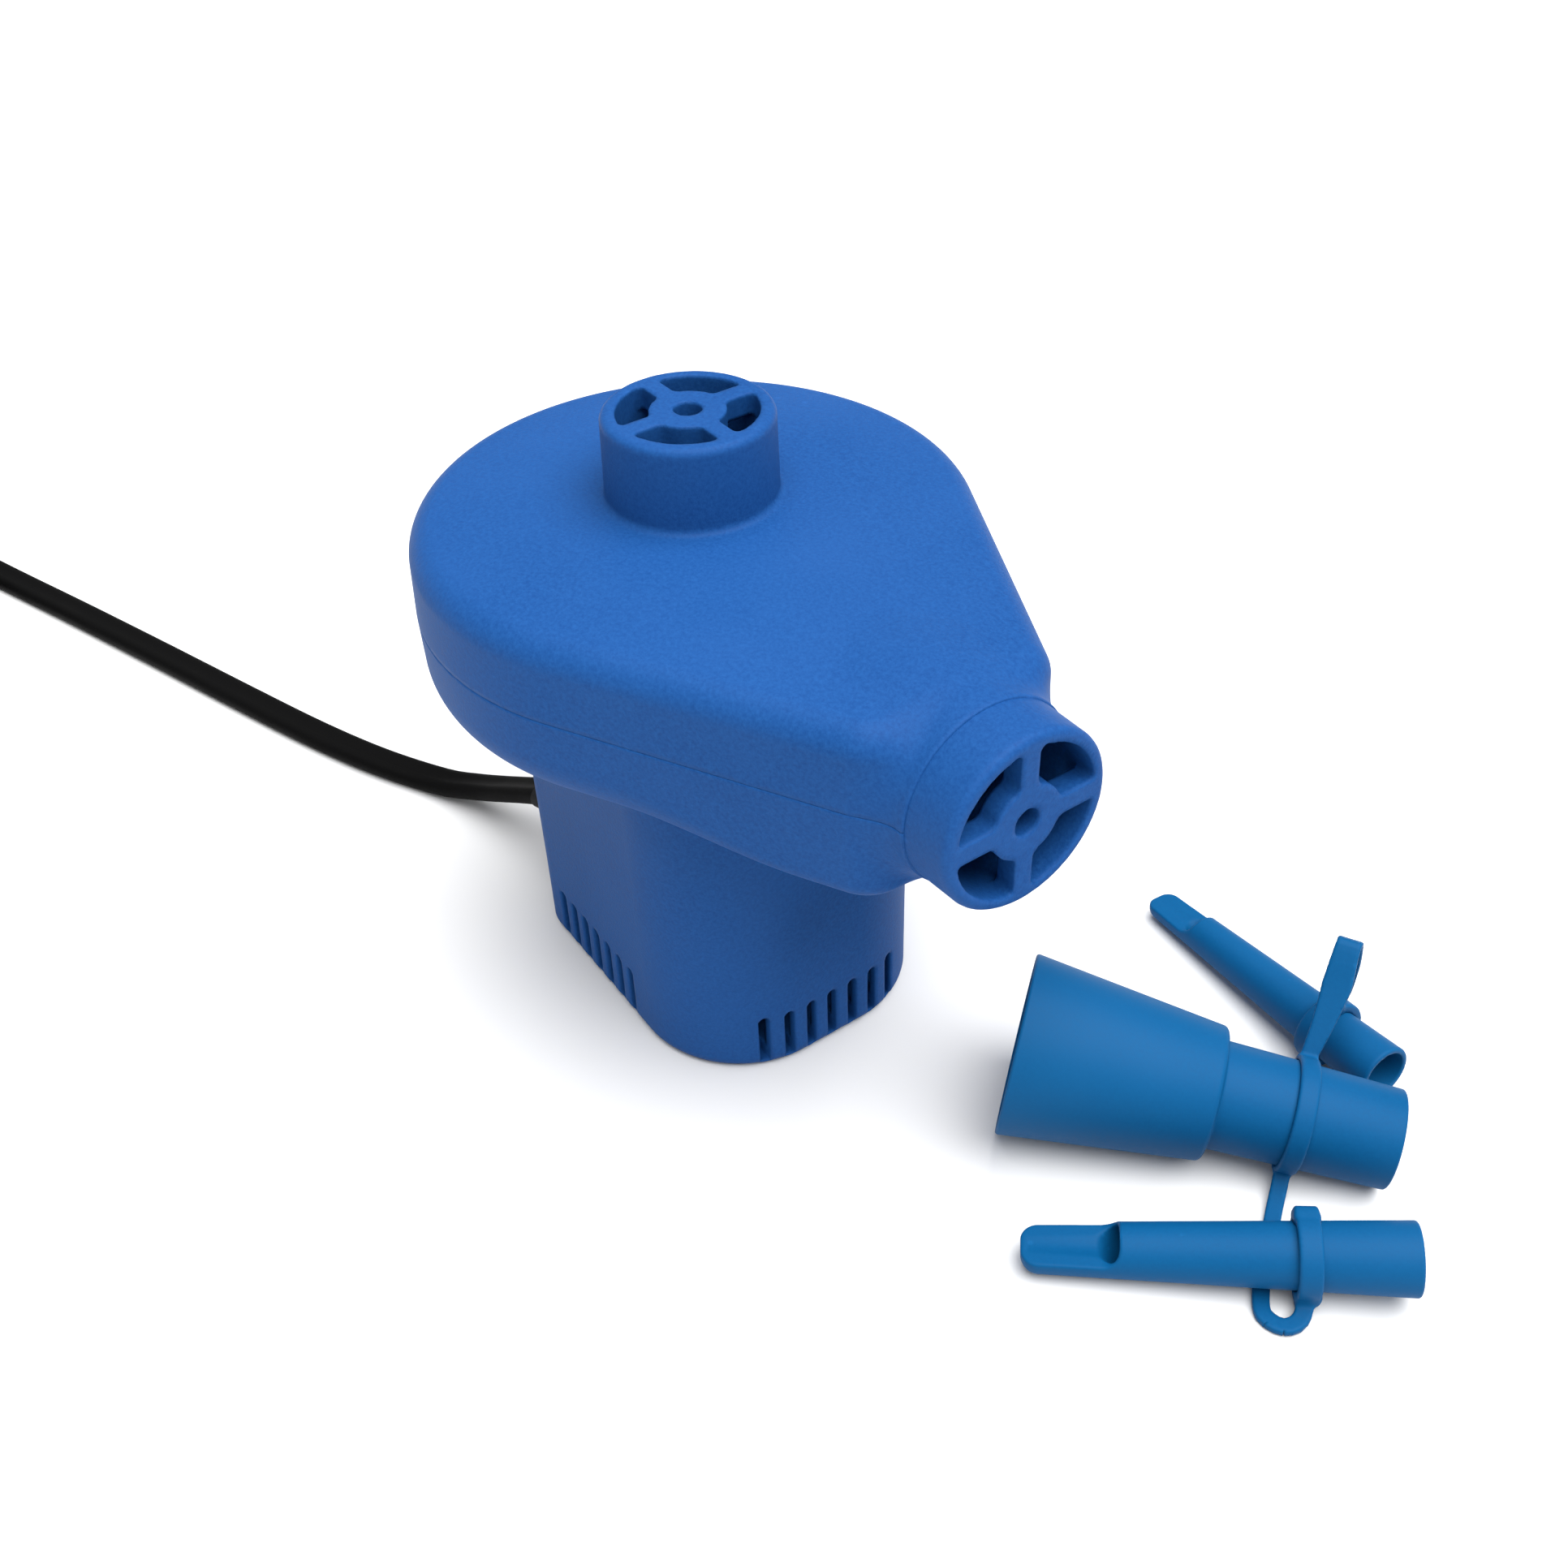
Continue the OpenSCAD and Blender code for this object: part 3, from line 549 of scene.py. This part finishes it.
def scroll_body(x, y, z):
    """The round scroll with its crowned roof, before the ports are added."""
    edge = outline(SCROLL_PLAN, x, y)
    draft = 0.43 * (1 - np.abs(z - SEAM) / (ROOF - SEAM))
    inward = np.clip(-edge / 34, 0, 1)
    roof = ROOF + CROWN * (1 - (1 - inward) ** 2)
    bottom_round = 9 - 5.6 * ease((x - 30) / 30)
    side = edge - draft
    above = both(side, z - roof, 4.4)
    below = both(side, SCROLL_BOTTOM - z, bottom_round)
    return np.where(z > SEAM, above, below)


def tube_radius(x):
    """The outlet tube's own radius in front of the collar, tapering forward."""
    return OUTLET_R + 0.02 * (OUTLET_END - x)


def outlet_radius(x):
    """The whole outlet's radius: the collar steps down a little to the tube."""
    collar = COLLAR_R - 0.04 * (x - SCROLL_END)
    sunk = 0.016 * np.clip(64 - x, 0, None) ** 2
    return collar + (tube_radius(x) - collar) * ease((x - COLLAR_END + 0.25) / 0.5) - sunk


def outlet_form(x, y, z):
    """The solid outlet tube, running back under the roof as a low hump."""
    return both(np.hypot(y, z - SEAM) - outlet_radius(x), 44 - x)


def port_form(x, y, z):
    """The intake port's solid outside."""
    out = np.hypot(x, y)
    radius = PORT_R + 0.3 * (PORT_TOP - z) / (PORT_TOP - ROOF)
    return both(both(out - radius, z - PORT_TOP, 1.4), ROOF - 6 - z)


def well_form(x, y, z):
    """The motor well: its walls lean out towards the top and are a little hollow."""
    t = np.clip(z / SCROLL_BOTTOM, 0, 1.1)
    hollow = 0.25 * np.sin(np.pi * np.clip(t, 0, 1))
    edge = outline(WELL_PLAN, x + WELL_LEAN * t, y) - WELL_GROWTH * t + hollow
    return both(both(edge, -z, 2.8), z - WELL_TOP)


def duct(across, up, depth, bore, face, start):
    """The air's way through a port: four pockets and a hub hole in its face, and the bore behind them."""
    out = np.hypot(across, up)
    beside_spokes = SPOKE_W / 2 - np.minimum(np.abs(across), np.abs(up))
    pockets = both(both(beside_spokes, HUB_R - out, 1), out - bore, 1.2)
    behind = both(out - bore, depth - face + GRILLE_T, 0.5)
    return both(np.minimum(np.minimum(pockets, out - HUB_HOLE), behind), start - depth)


def slot_field(along_face, z, pitch, middle):
    """Round-topped cooling slots spaced along a face."""
    half = SLOTS // 2
    nearest = np.clip(np.round((along_face - middle) / pitch), -half, half)
    offset = along_face - middle - pitch * nearest
    upright = np.hypot(offset, np.maximum(z - SLOT_TOP + SLOT_W / 2, 0)) - SLOT_W / 2
    return both(upright, SLOT_BOTTOM - z, 0.5)


def cooling_slots(x, y, z):
    """The rows of slots at the foot of the motor well: one in front and one on each side."""
    front = both(slot_field(y, z, FRONT_PITCH, FRONT_MIDDLE), span(x, 32.9, 60))
    sides = both(slot_field(x, z, SIDE_PITCH, SIDE_MIDDLE), 21.2 - np.abs(y))
    return np.minimum(front, both(sides, np.abs(y) - 60))


def posts(x, y, z, places, r, low, high):
    """Upright round posts, or holes when they are cut away."""
    nearest = np.min([np.hypot(x - px, y - py) + 0 * z for px, py in places], axis=0)
    return both(nearest - r, span(z, low, high))


def outside(x, y, z):
    """The whole housing's solid outside, both shells together."""
    top = joined(scroll_body(x, y, z), outlet_form(x, y, z), 3.4)
    return joined(top, port_form(x, y, z), 1.2)


def lower_housing(x, y, z):
    """The motor well and the scroll up to its seam, as one moulding."""
    solid = joined(outside(x, y, z), well_form(x, y, z), 0.9)
    scroll_room = both(scroll_body(x, y, z) + WALL, SCROLL_BOTTOM + WALL - z, 1)
    well_room = both(well_form(x, y, z - 2) + WALL, WELL_BASE - z)
    well_room = both(well_room, z - SEAM)
    body = cut(solid, np.minimum(scroll_room, well_room))
    body = cut(body, cooling_slots(x, y, z), 0.45)
    body = np.minimum(body, posts(x, y, z, PLATE_SCREWS, PLATE_POST_R, 60, SCROLL_BOTTOM + WALL))
    post = posts(x, y, z, COVER_SCREWS, COVER_POST_R, SCROLL_BOTTOM, SEAM)
    body = np.minimum(body, both(post, scroll_body(x, y, z)))
    pad = brick(x, y, z, (-26.1, -8, SWITCH_Z - 11), (-23.6, 8, SWITCH_Z + 8.6))
    body = joined(body, pad)
    recess = brick(x, y, z, (-40, -6.6, SWITCH_Z - 8.6), (-26, 6.6, SWITCH_Z + 8.2), 1)
    body = cut(body, recess, 0.5)
    body = cut(body, brick(x, y, z, (-40, -4.5, SWITCH_Z - 6.5), (-20, 4.5, SWITCH_Z + 6.5), 0.1))
    hole = both(np.hypot(y - CORD_Y, z - CORD_Z) - CORD_HOLE_R, span(x, -40, -20))
    bore = both(np.hypot(y, z - SEAM) - NECK_R, SCROLL_END - WALL - 1 - x)
    body = cut(cut(body, hole, 0.4), bore)
    body = cut(body, posts(x, y, z, COVER_SCREWS, HEAD_R, SCROLL_BOTTOM - 5, SCROLL_BOTTOM + 5.6), 0.3)
    body = cut(body, posts(x, y, z, COVER_SCREWS, SCREW_HOLE_R, SCROLL_BOTTOM - 5, SEAM + 5))
    return both(both(body, z - SEAM + SEAM_GAP), x - COLLAR_END)


def top_cover(x, y, z):
    """The scroll above its seam, with the intake port and the cover screws' posts."""
    room = both(scroll_body(x, y, z) + WALL, z - ROOF + WALL, 2)
    body = cut(outside(x, y, z), room)
    body = cut(body, duct(x, y, z, PORT_BORE, PORT_TOP, ROOF - 5), 0.4)
    body = np.minimum(body, posts(x, y, z, COVER_SCREWS, ROOF_POST_R, SEAM, ROOF - 3))
    bore = both(np.hypot(y, z - SEAM) - NECK_R, SCROLL_END - WALL - 1 - x)
    body = cut(body, bore)
    return both(both(body, SEAM + SEAM_GAP - z), x - COLLAR_END)


def outlet_tube(x, y, z):
    """The outlet tube, lapped a little under the shells' collar, with its neck and its grille."""
    out = np.hypot(y, z - SEAM)
    tube = both(out - tube_radius(x), x - OUTLET_END, 1.3)
    tube = both(tube, COLLAR_END - COLLAR_LAP - x)
    neck = both(out - NECK_R + 0.1, span(x, SCROLL_END - 5, COLLAR_END + 1))
    return cut(np.minimum(tube, neck), duct(y, z - SEAM, x, OUTLET_BORE, OUTLET_END, 0), 0.4)


def build_housing():
    step = 0.55
    lower = moulded("housing_shell", lower_housing, housing_low - (3.5, 2, 0.5), housing_high + (1, 1, 0.5),
                    step, shell_blue, "pump")
    cover = moulded("cover_shell", top_cover, cover_low - (1, 1, 0.5), cover_high + (1, 1, 1),
                    step, shell_blue, "pump")
    tube = moulded("outlet_barrel", outlet_tube, tube_low - (1, 2, 2), tube_high + (1, 2, 2),
                   step, shell_blue, "pump")
    for piece, node in ((lower, "lower_housing"), (cover, "top_cover"), (tube, "outlet_tube")):
        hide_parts(node)


build_housing()


# ---- Mains lead ----

CORD_W = 7.4
CORD_T = 3.8
COIL_CENTER = (-238.7, -125.3)
COIL_RINGS = (42.4, 38.5, 34.6)
COIL_LAYERS = (4.7, 12.2)
COIL_FROM = 106.8
LYING_R = 41
CORD_ROUTE = [
    (-36, -13.1, 16.3), (-38, -13.2, 16), (-42, -14, 14.7), (-46, -14.9, 13), (-51, -16.2, 10.7),
    (-56, -17.6, 8.4), (-61, -19.2, 6.3), (-66, -20.9, 4.4), (-71, -23, 2.9), (-77, -25.7, 2.1),
    (-86, -30.2, 2), (-96, -34.5, 2), (-110, -39.6, 2), (-130, -46, 2), (-160, -55.3, 2),
    (-190, -64.8, 2), (-220, -74.6, 2), (-235, -79.6, 2.6)]
PLUG_REAR = (COIL_CENTER[0] - 14, COIL_CENTER[1] - COIL_RINGS[1], 23)


def coil_point(angle, radius, height):
    a = math.radians(angle)
    return (COIL_CENTER[0] + radius * math.cos(a), COIL_CENTER[1] + radius * math.sin(a), height)


def coil_line():
    """The wound turns: inwards along the bottom layer, up, and outwards along the top one."""
    lying = COIL_LAYERS[1] + CORD_W / 2 + CORD_T / 2
    rings = COIL_RINGS + COIL_RINGS[::-1] + (LYING_R,)
    layers = [COIL_LAYERS[0]] * 3 + [COIL_LAYERS[1]] * 3 + [lying]
    last_turn = len(rings) - 2
    swing = 2.6
    line = []
    for turn in range(last_turn + 1):
        ring, layer = rings[turn], layers[turn]
        to_ring, to_layer = rings[turn + 1], layers[turn + 1]
        outwards = 1 if turn == last_turn else -1
        for angle in range(0, 360, 8):
            t = float(ease((angle - 305) / 55))
            aside = outwards * swing * math.sin(math.pi * t) if to_layer != layer else 0
            line.append(coil_point(COIL_FROM + angle, ring + (to_ring - ring) * t + aside,
                                   layer + (to_layer - layer) * t))
    for angle in range(0, 136, 8):
        rise = float(ease((angle - 92) / 36))
        line.append(coil_point(COIL_FROM + angle, LYING_R + (COIL_RINGS[1] - LYING_R) * ease(angle / 60),
                               lying + (PLUG_REAR[2] - lying) * rise))
    x, y, z = PLUG_REAR
    line += [(x + 1.4, y + 1.1, z), (x + 6, y, z)]
    return line


def twin_section():
    """Two insulated cores side by side, as (across, up) points."""
    core_r = CORD_T / 2
    core_x = CORD_W / 2 - core_r
    arc = np.radians(np.linspace(-122, 122, 11))
    right = [(core_x + core_r * math.cos(a), core_r * math.sin(a)) for a in arc]
    return right + [(-x, -y) for x, y in right]


def build_cord():
    """The flat twin lead: flat on the floor, on edge in the coil, and flat again into the plug."""
    run = smooth_path(CORD_ROUTE + [coil_point(COIL_FROM - 8, COIL_RINGS[0], 4.4)], 2.5)
    line = np.vstack([run[:-1], smooth_path(coil_line(), 2.5)])
    travelled = np.concatenate([[0], np.cumsum(np.linalg.norm(np.diff(line, axis=0), axis=1))])
    centre = np.array([*COIL_CENTER, 0])
    radial = (line - centre) * (1, 1, 0)
    radial /= np.linalg.norm(radial, axis=1)[:, None]
    into_coil = travelled[len(run) - 1]
    climb = travelled[-1] - math.radians(190) * COIL_RINGS[0]
    on_edge = ease((travelled - into_coil + 32) / 60) * (1 - ease((travelled - climb) / 40))
    ups = np.array([0, 0, 1]) * (1 - on_edge)[:, None] + radial * on_edge[:, None]
    points, faces = swept(line, twin_section(), ups)
    piece = add("mains_cord", points, faces, cord_black, "pump")
    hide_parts("cord", "cord_coil", "cord_tail")
    return piece, line, travelled[-1]


def build_relief():
    """The ribbed rubber sleeve that bends a little with the cord."""
    line = smooth_path([(-21.8, CORD_Y, CORD_Z), (-30, CORD_Y, CORD_Z), (-36, -13.1, 16.2), (-42, -14, 14.8)],
                       0.25)
    behind = WELL_REAR - line[:, 0]
    rings = np.interp(behind, [-4.2, -2.6, -2.5, 0, 0.1, 1.8, 2.1, 3, 16],
                      [5.1, 5.1, 4.15, 4.15, 5.6, 5.6, 5.2, 5, 4.5])
    first, last, pitch, depth = 3.2, 14.4, 2.8, 0.55
    wave = ease(2.4 * np.sin((behind - first) * 2 * math.pi / pitch))
    rings = rings - depth * wave * (behind > first) * (behind < last)
    sides = 32
    circle = [(math.cos(a), math.sin(a)) for a in np.linspace(0, 2 * math.pi, sides, endpoint=False)]
    points, faces = swept(line, circle, np.array([[0, 0, 1.0]] * len(line)))
    points = np.array(points).reshape(len(line), sides, 3)
    points = line[:, None] + (points - line[:, None]) * rings[:, None, None]
    squeeze = np.interp(behind, [4, 16], [0, 1])[:, None] * (rings * 0.4)[:, None]
    points[:, :, 2] -= squeeze * (points[:, :, 2] - line[:, 2:3]) / rings[:, None]
    piece = add("relief_sleeve", points.reshape(-1, 3), faces, black_rubber, "pump", smooth_angle=35)
    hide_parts("strain_relief")
    return piece


def plug_field(x, y, z):
    """A moulded plug lying along +X, with a waist to grip and a ribbed tail."""
    x, y, z = x - PLUG_REAR[0], y - PLUG_REAR[1], z - PLUG_REAR[2]
    out = np.hypot(y, z)
    tail_r = 4.4 + 0.17 * x - 0.45 * ease(2.2 * np.sin(x * math.pi / 1.1)) * (x < 7)
    tail = both(out - tail_r, span(x, 0, 10), 0.4)
    waist = 0.9 * np.exp(-((x - 14.5) / 3.4) ** 2)
    half_w = 7.6 + 1.4 * ease((x - 8) / 10) - waist
    half_t = 5.8 + 1.1 * ease((x - 8) / 10) - 0.6 * waist
    body = both(both(np.abs(y) - half_w, np.abs(z) - half_t, 3), span(x, 8, 26), 1.5)
    return joined(body, tail, 1.5)


def build_plug():
    low, high = box_mm("plug_body")
    step = 0.4
    body = moulded("mains_plug", plug_field, low - 1, high + 1, step, black_rubber, "pump")
    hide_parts("plug_body")
    return body


def build_tie():
    """The hook-and-loop strap round the coil's turns, its loose end lapped on top."""
    half_band, middle, top = 6, COIL_RINGS[1], 16

    def strap(x, y, z):
        outer = brick(x - middle, y, z, (-half_band - 1.1, -4.2, 0.02), (half_band + 1.1, 4.2, top + 1.1), 0.9)
        inner = brick(x - middle, y, z, (-half_band - 0.1, -9, 1), (half_band + 0.1, 9, top + 0.1), 0.6)
        flap = brick(x - middle, y, z, (-half_band + 2, -4.1, top + 1), (half_band - 0.5, 4.1, top + 2.1), 0.5)
        return np.minimum(cut(outer, inner), flap)

    place = Matrix.Translation(Vector((*COIL_CENTER, 0)) * MM) @ Matrix.Rotation(math.radians(60), 4, "Z")
    piece = moulded("coil_tie", strap, (middle - 8, -5, 0), (middle + 8, 5, top + 3), 0.4, tie_cloth, "pump",
                    place)
    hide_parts("cord_tie")
    return piece


cord, cord_line, cord_length = build_cord()
relief = build_relief()
plug = build_plug()
tie = build_tie()


# ---- Nozzle set ----

ADAPTER_ENDS = ((70.7, 15.4, 16.1), (121.2, 56.6, 8.7))
LARGE_ENDS = ((139.6, 40.4, 8.6), (97.4, -6.4, 4.2))
SMALL_ENDS = ((110.2, 67.9, 7.8), (49.8, 72.7, 3.2))
LARGE_SIZES = (6.1, 4.1, 16)
SMALL_SIZES = (5.4, 3.2, 13)
NOZZLE_WALL = 1.0


def nozzle_field(length, sizes):
    """A tapered tube whose tip is cut away above its middle, with a curved shoulder and a round end.

    Its sizes are its open end's radius, its tip's radius and the length that is cut away. The bore rises
    in the tip, which leaves a shallow trough with a thick floor.
    """
    open_r, tip_r, cut_l = sizes

    def field(x, y, z):
        radius = open_r + (tip_r - open_r) * z / length
        outer = both(both(np.hypot(x, y) - radius, -z, 0.5), z - length, 0.7 * tip_r)
        raised = 0.95 * tip_r * ease((z - length + cut_l + 1) / 5)
        inner = np.hypot(x + raised, y) - radius + NOZZLE_WALL
        body = cut(outer, both(inner, z - length + 1.2), 0.25)
        shoulder = both(x + 0.22 * tip_r, length - cut_l - z, 3)
        return cut(body, shoulder, 0.35)
    return field


def build_nozzle(name, node, ends, sizes, body):
    """A pinch nozzle laid from its open end to its tip."""
    length = (Vector(ends[1]) - Vector(ends[0])).length
    open_r = sizes[0]
    step = 0.3
    piece = moulded(name, nozzle_field(length, sizes), (-open_r, -open_r, 0),
                    (open_r, open_r, length), step, nozzle_blue, body, along(*ends))
    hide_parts(node)


def build_adapter():
    """The wide cone with its stepped narrow end."""
    mouth_r, cone_l, length, shoulder_r, neck_r, end_r = 16.2, 34.8, 65.6, 11.8, 9.5, 8.7
    profile = rounded([
        (mouth_r, 0, 0.5), (shoulder_r, cone_l, 1.1), (neck_r, cone_l + 0.2, 0.5), (end_r, length, 0.45),
        (end_r - 1, length, 0.3), (neck_r - 1, cone_l, 1), (shoulder_r - 1, cone_l - 1, 1),
        (mouth_r - 0.8, 0, 0.25)], steps=7)
    points, faces = lathe(profile, 128)
    piece = add("wide_adapter", points, faces, nozzle_blue, "adapter", along(*ADAPTER_ENDS), smooth_angle=40)
    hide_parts("valve_adapter")


# Each tether ring: its nozzle's ends, how far along the nozzle it sits, and its bore's radius
ADAPTER_RING = (ADAPTER_ENDS, 49, 9.25)
LARGE_RING = (LARGE_ENDS, 17.4, 5.75)
SMALL_RING = (SMALL_ENDS, 14, 5.03)
LOW_STRAP = [
    (111.7, 40.8, 3.2), (113.4, 38.3, 1.8), (115.4, 35.2, 1), (118, 31.4, 0.8), (121.6, 26.2, 0.8),
    (125.6, 20.8, 0.8), (129, 17.8, 0.8), (132.4, 18.6, 0.9), (133.2, 21.6, 1.2), (131.3, 25, 2.3)]
HIGH_STRAP = [
    (104.2, 52.4, 16.8), (102.9, 56.6, 21.4), (101.2, 60.8, 26.4), (99.6, 63.8, 30.4), (98.6, 65.8, 32.2),
    (97.9, 67.2, 30.4), (97.5, 67.8, 26), (96.8, 68.6, 19.5), (95.9, 69, 12.2)]
LOW_STRAP_W = (2.8, 2.8)
HIGH_STRAP_W = (2.8, 3.8, 5, 4.2, 5, 4.8, 4)
HIGH_STRAP_AXIS = (0.9, 0.45, 0)
STRAP_T = 1.3


def strap_field(points, widths, axis=None):
    """A flat strap along a smooth line, as a chain of short rounded bars.

    Its widths are those at evenly spaced places along it. It lies flat, or bends about the axis.
    """
    line = smooth_path(points, 0.9)
    spans = np.interp(np.linspace(0, len(widths) - 1, len(line) - 1), np.arange(len(widths)), widths)
    bars = []
    for a, b, width in zip(line[:-1], line[1:], spans):
        ahead = (b - a) / np.linalg.norm(b - a)
        across = np.cross((0, 0, 1), ahead) if axis is None else axis - ahead * (ahead @ axis)
        across /= np.linalg.norm(across)
        half = np.linalg.norm(b - a) / 2 + 0.15
        bars.append(((a + b) / 2, half, width, ahead, across, np.cross(ahead, across)))

    def field(x, y, z):
        best = np.inf
        for middle, half, width, ahead, across, rise in bars:
            px, py, pz = x - middle[0], y - middle[1], z - middle[2]
            u = np.abs(px * ahead[0] + py * ahead[1] + pz * ahead[2]) - half
            v = np.abs(px * across[0] + py * across[1] + pz * across[2]) - width / 2
            w = np.abs(px * rise[0] + py * rise[1] + pz * rise[2]) - STRAP_T / 2
            best = np.minimum(best, both(both(v, w, 0.4), u))
        return best
    return field


def ring_field(ends, at, bore, wall, width, lobe=0.0):
    """A tether ring round a nozzle, with a lobe of that radius on two opposite sides, or none."""
    start = np.array(ends[0])
    axis = np.array(ends[1]) - start
    axis /= np.linalg.norm(axis)
    middle = start + axis * at
    up = np.array([0, 0, 1]) - axis * axis[2]
    up /= np.linalg.norm(up)
    side = np.cross(axis, up)

    def field(x, y, z):
        px, py, pz = x - middle[0], y - middle[1], z - middle[2]
        u = px * axis[0] + py * axis[1] + pz * axis[2]
        v = px * up[0] + py * up[1] + pz * up[2]
        w = px * side[0] + py * side[1] + pz * side[2]
        out = np.hypot(v, w)
        outer = both(out - bore - wall, np.abs(u) - width / 2, 0.5)
        for turn in ((0.75, 0.66), (-0.75, -0.66)) if lobe else ():
            far = np.hypot(v - turn[0] * (bore + 0.3), w - turn[1] * (bore + 0.3))
            outer = joined(outer, both(far - lobe, np.abs(u) - width / 2, 0.5), 1)
        return cut(outer, out - bore, 0.2)
    return field


def build_tether():
    """Three rings joined by two straps, trimmed to the floor and to the nozzles."""
    rings = [ring_field(*ADAPTER_RING, 0.9, 3.4), ring_field(*LARGE_RING, 1.2, 3.8, 1.9),
             ring_field(*SMALL_RING, 1.5, 4)]
    straps = [strap_field(LOW_STRAP, LOW_STRAP_W),
              strap_field(HIGH_STRAP, HIGH_STRAP_W, HIGH_STRAP_AXIS)]
    bores = [ring_field(ends, at, 0, bore, 9) for ends, at, bore in (ADAPTER_RING, LARGE_RING, SMALL_RING)]

    def field(x, y, z):
        strap = np.minimum(straps[0](x, y, z), straps[1](x, y, z))
        for bore in bores:
            strap = cut(strap, bore(x, y, z))
        ring = np.minimum(np.minimum(rings[0](x, y, z), rings[1](x, y, z)), rings[2](x, y, z))
        return both(joined(ring, strap, 0.8), 0.02 - z)

    low, high = box_mm("nozzle_tether")
    step = 0.36
    piece = moulded("tether", field, low - 2.5, high + 2.5, step, nozzle_blue, "nozzle_set")
    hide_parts("nozzle_tether")


build_adapter()
build_nozzle("large_pinch_nozzle", "large_nozzle", LARGE_ENDS, LARGE_SIZES, "large_nozzle")
build_nozzle("small_pinch_nozzle", "small_nozzle", SMALL_ENDS, SMALL_SIZES, "nozzle_set")
build_tether()


# ---- Switch, with its edges softened ----

def softened(node, width, body):
    """A copy of a CAD piece with its sharp edges rounded over."""
    piece = bpy.data.objects.new(node + "_soft", nodes[node].data.copy())
    bpy.context.scene.collection.objects.link(piece)
    weld = piece.modifiers.new("weld", "WELD")
    weld.merge_threshold = 1e-6
    bevel = piece.modifiers.new("bevel", "BEVEL")
    bevel.width = width * MM
    bevel.segments = 3
    bevel.limit_method = "ANGLE"
    bevel.angle_limit = math.radians(40)
    bevel.harden_normals = True
    applied(piece)
    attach(piece, body)
    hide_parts(node)
    return piece


softened("switch_body", 0.35, "pump")
softened("switch_rocker", 0.3, "rocker")


# ---- Camera, light and floor ----

def look():
    """The camera: its place, and its right, up and forward directions."""
    data = bpy.data.cameras.new("camera")
    data.lens = 41.79
    data.sensor_width = 36
    data.clip_start = 0.01
    camera = bpy.data.objects.new("camera", data)
    right = Vector((0.58600, 0.80995, -0.02420))
    up = Vector((-0.49725, 0.38303, 0.77848))
    forward = Vector((-0.63980, 0.44416, -0.62720))
    camera.matrix_world = (Matrix.Translation((0.22851, -0.14189, 0.25265))
                           @ Matrix((right, up, -forward)).transposed().to_4x4())
    bpy.context.scene.collection.objects.link(camera)
    bpy.context.scene.camera = camera


def lamp(name, place, target, size, power):
    data = bpy.data.lights.new(name, "AREA")
    data.shape = "DISK"
    data.size = size
    data.energy = power
    piece = bpy.data.objects.new(name, data)
    piece.location = place
    piece.rotation_euler = (Vector(target) - Vector(place)).to_track_quat("-Z", "Y").to_euler()
    bpy.context.scene.collection.objects.link(piece)


def studio():
    """Even light from all round, a broad key light from above, a weak front lamp and a pale floor."""
    world = bpy.data.worlds.new("studio")
    world.use_nodes = True
    world.node_tree.nodes["Background"].inputs["Color"].default_value = (1, 1, 1, 1)
    world.node_tree.nodes["Background"].inputs["Strength"].default_value = 0.5
    bpy.context.scene.world = world
    bpy.context.scene.view_settings.view_transform = "Standard"
    sun = bpy.data.lights.new("key", "SUN")
    sun.energy = 6.2
    sun.angle = math.radians(66)
    key = bpy.data.objects.new("key", sun)
    key.rotation_euler = Vector((0.26, 0.1, 1)).to_track_quat("Z", "Y").to_euler()
    bpy.context.scene.collection.objects.link(key)
    lamp("front", (0.5, -0.6, 0.6), (0.03, 0, 0.05), 0.1, 0.4)
    floor_material = Nodes("floor_white", (0.7, 0.7, 0.7), 0.9)
    tint = floor_material.noise(3, detail=1)
    floor_material.colored(floor_material.mix(tint, (0.71, 0.71, 0.71), (0.7, 0.7, 0.7)))
    half = 6.0
    mesh = bpy.data.meshes.new("floor")
    corners = [(-half, -half, 0), (half, -half, 0), (half, half, 0), (-half, half, 0)]
    mesh.from_pydata(corners, [], [(0, 1, 2, 3)])
    mesh.materials.append(floor_material.material)
    floor = bpy.data.objects.new("floor", mesh)
    bpy.context.scene.collection.objects.link(floor)


look()
studio()
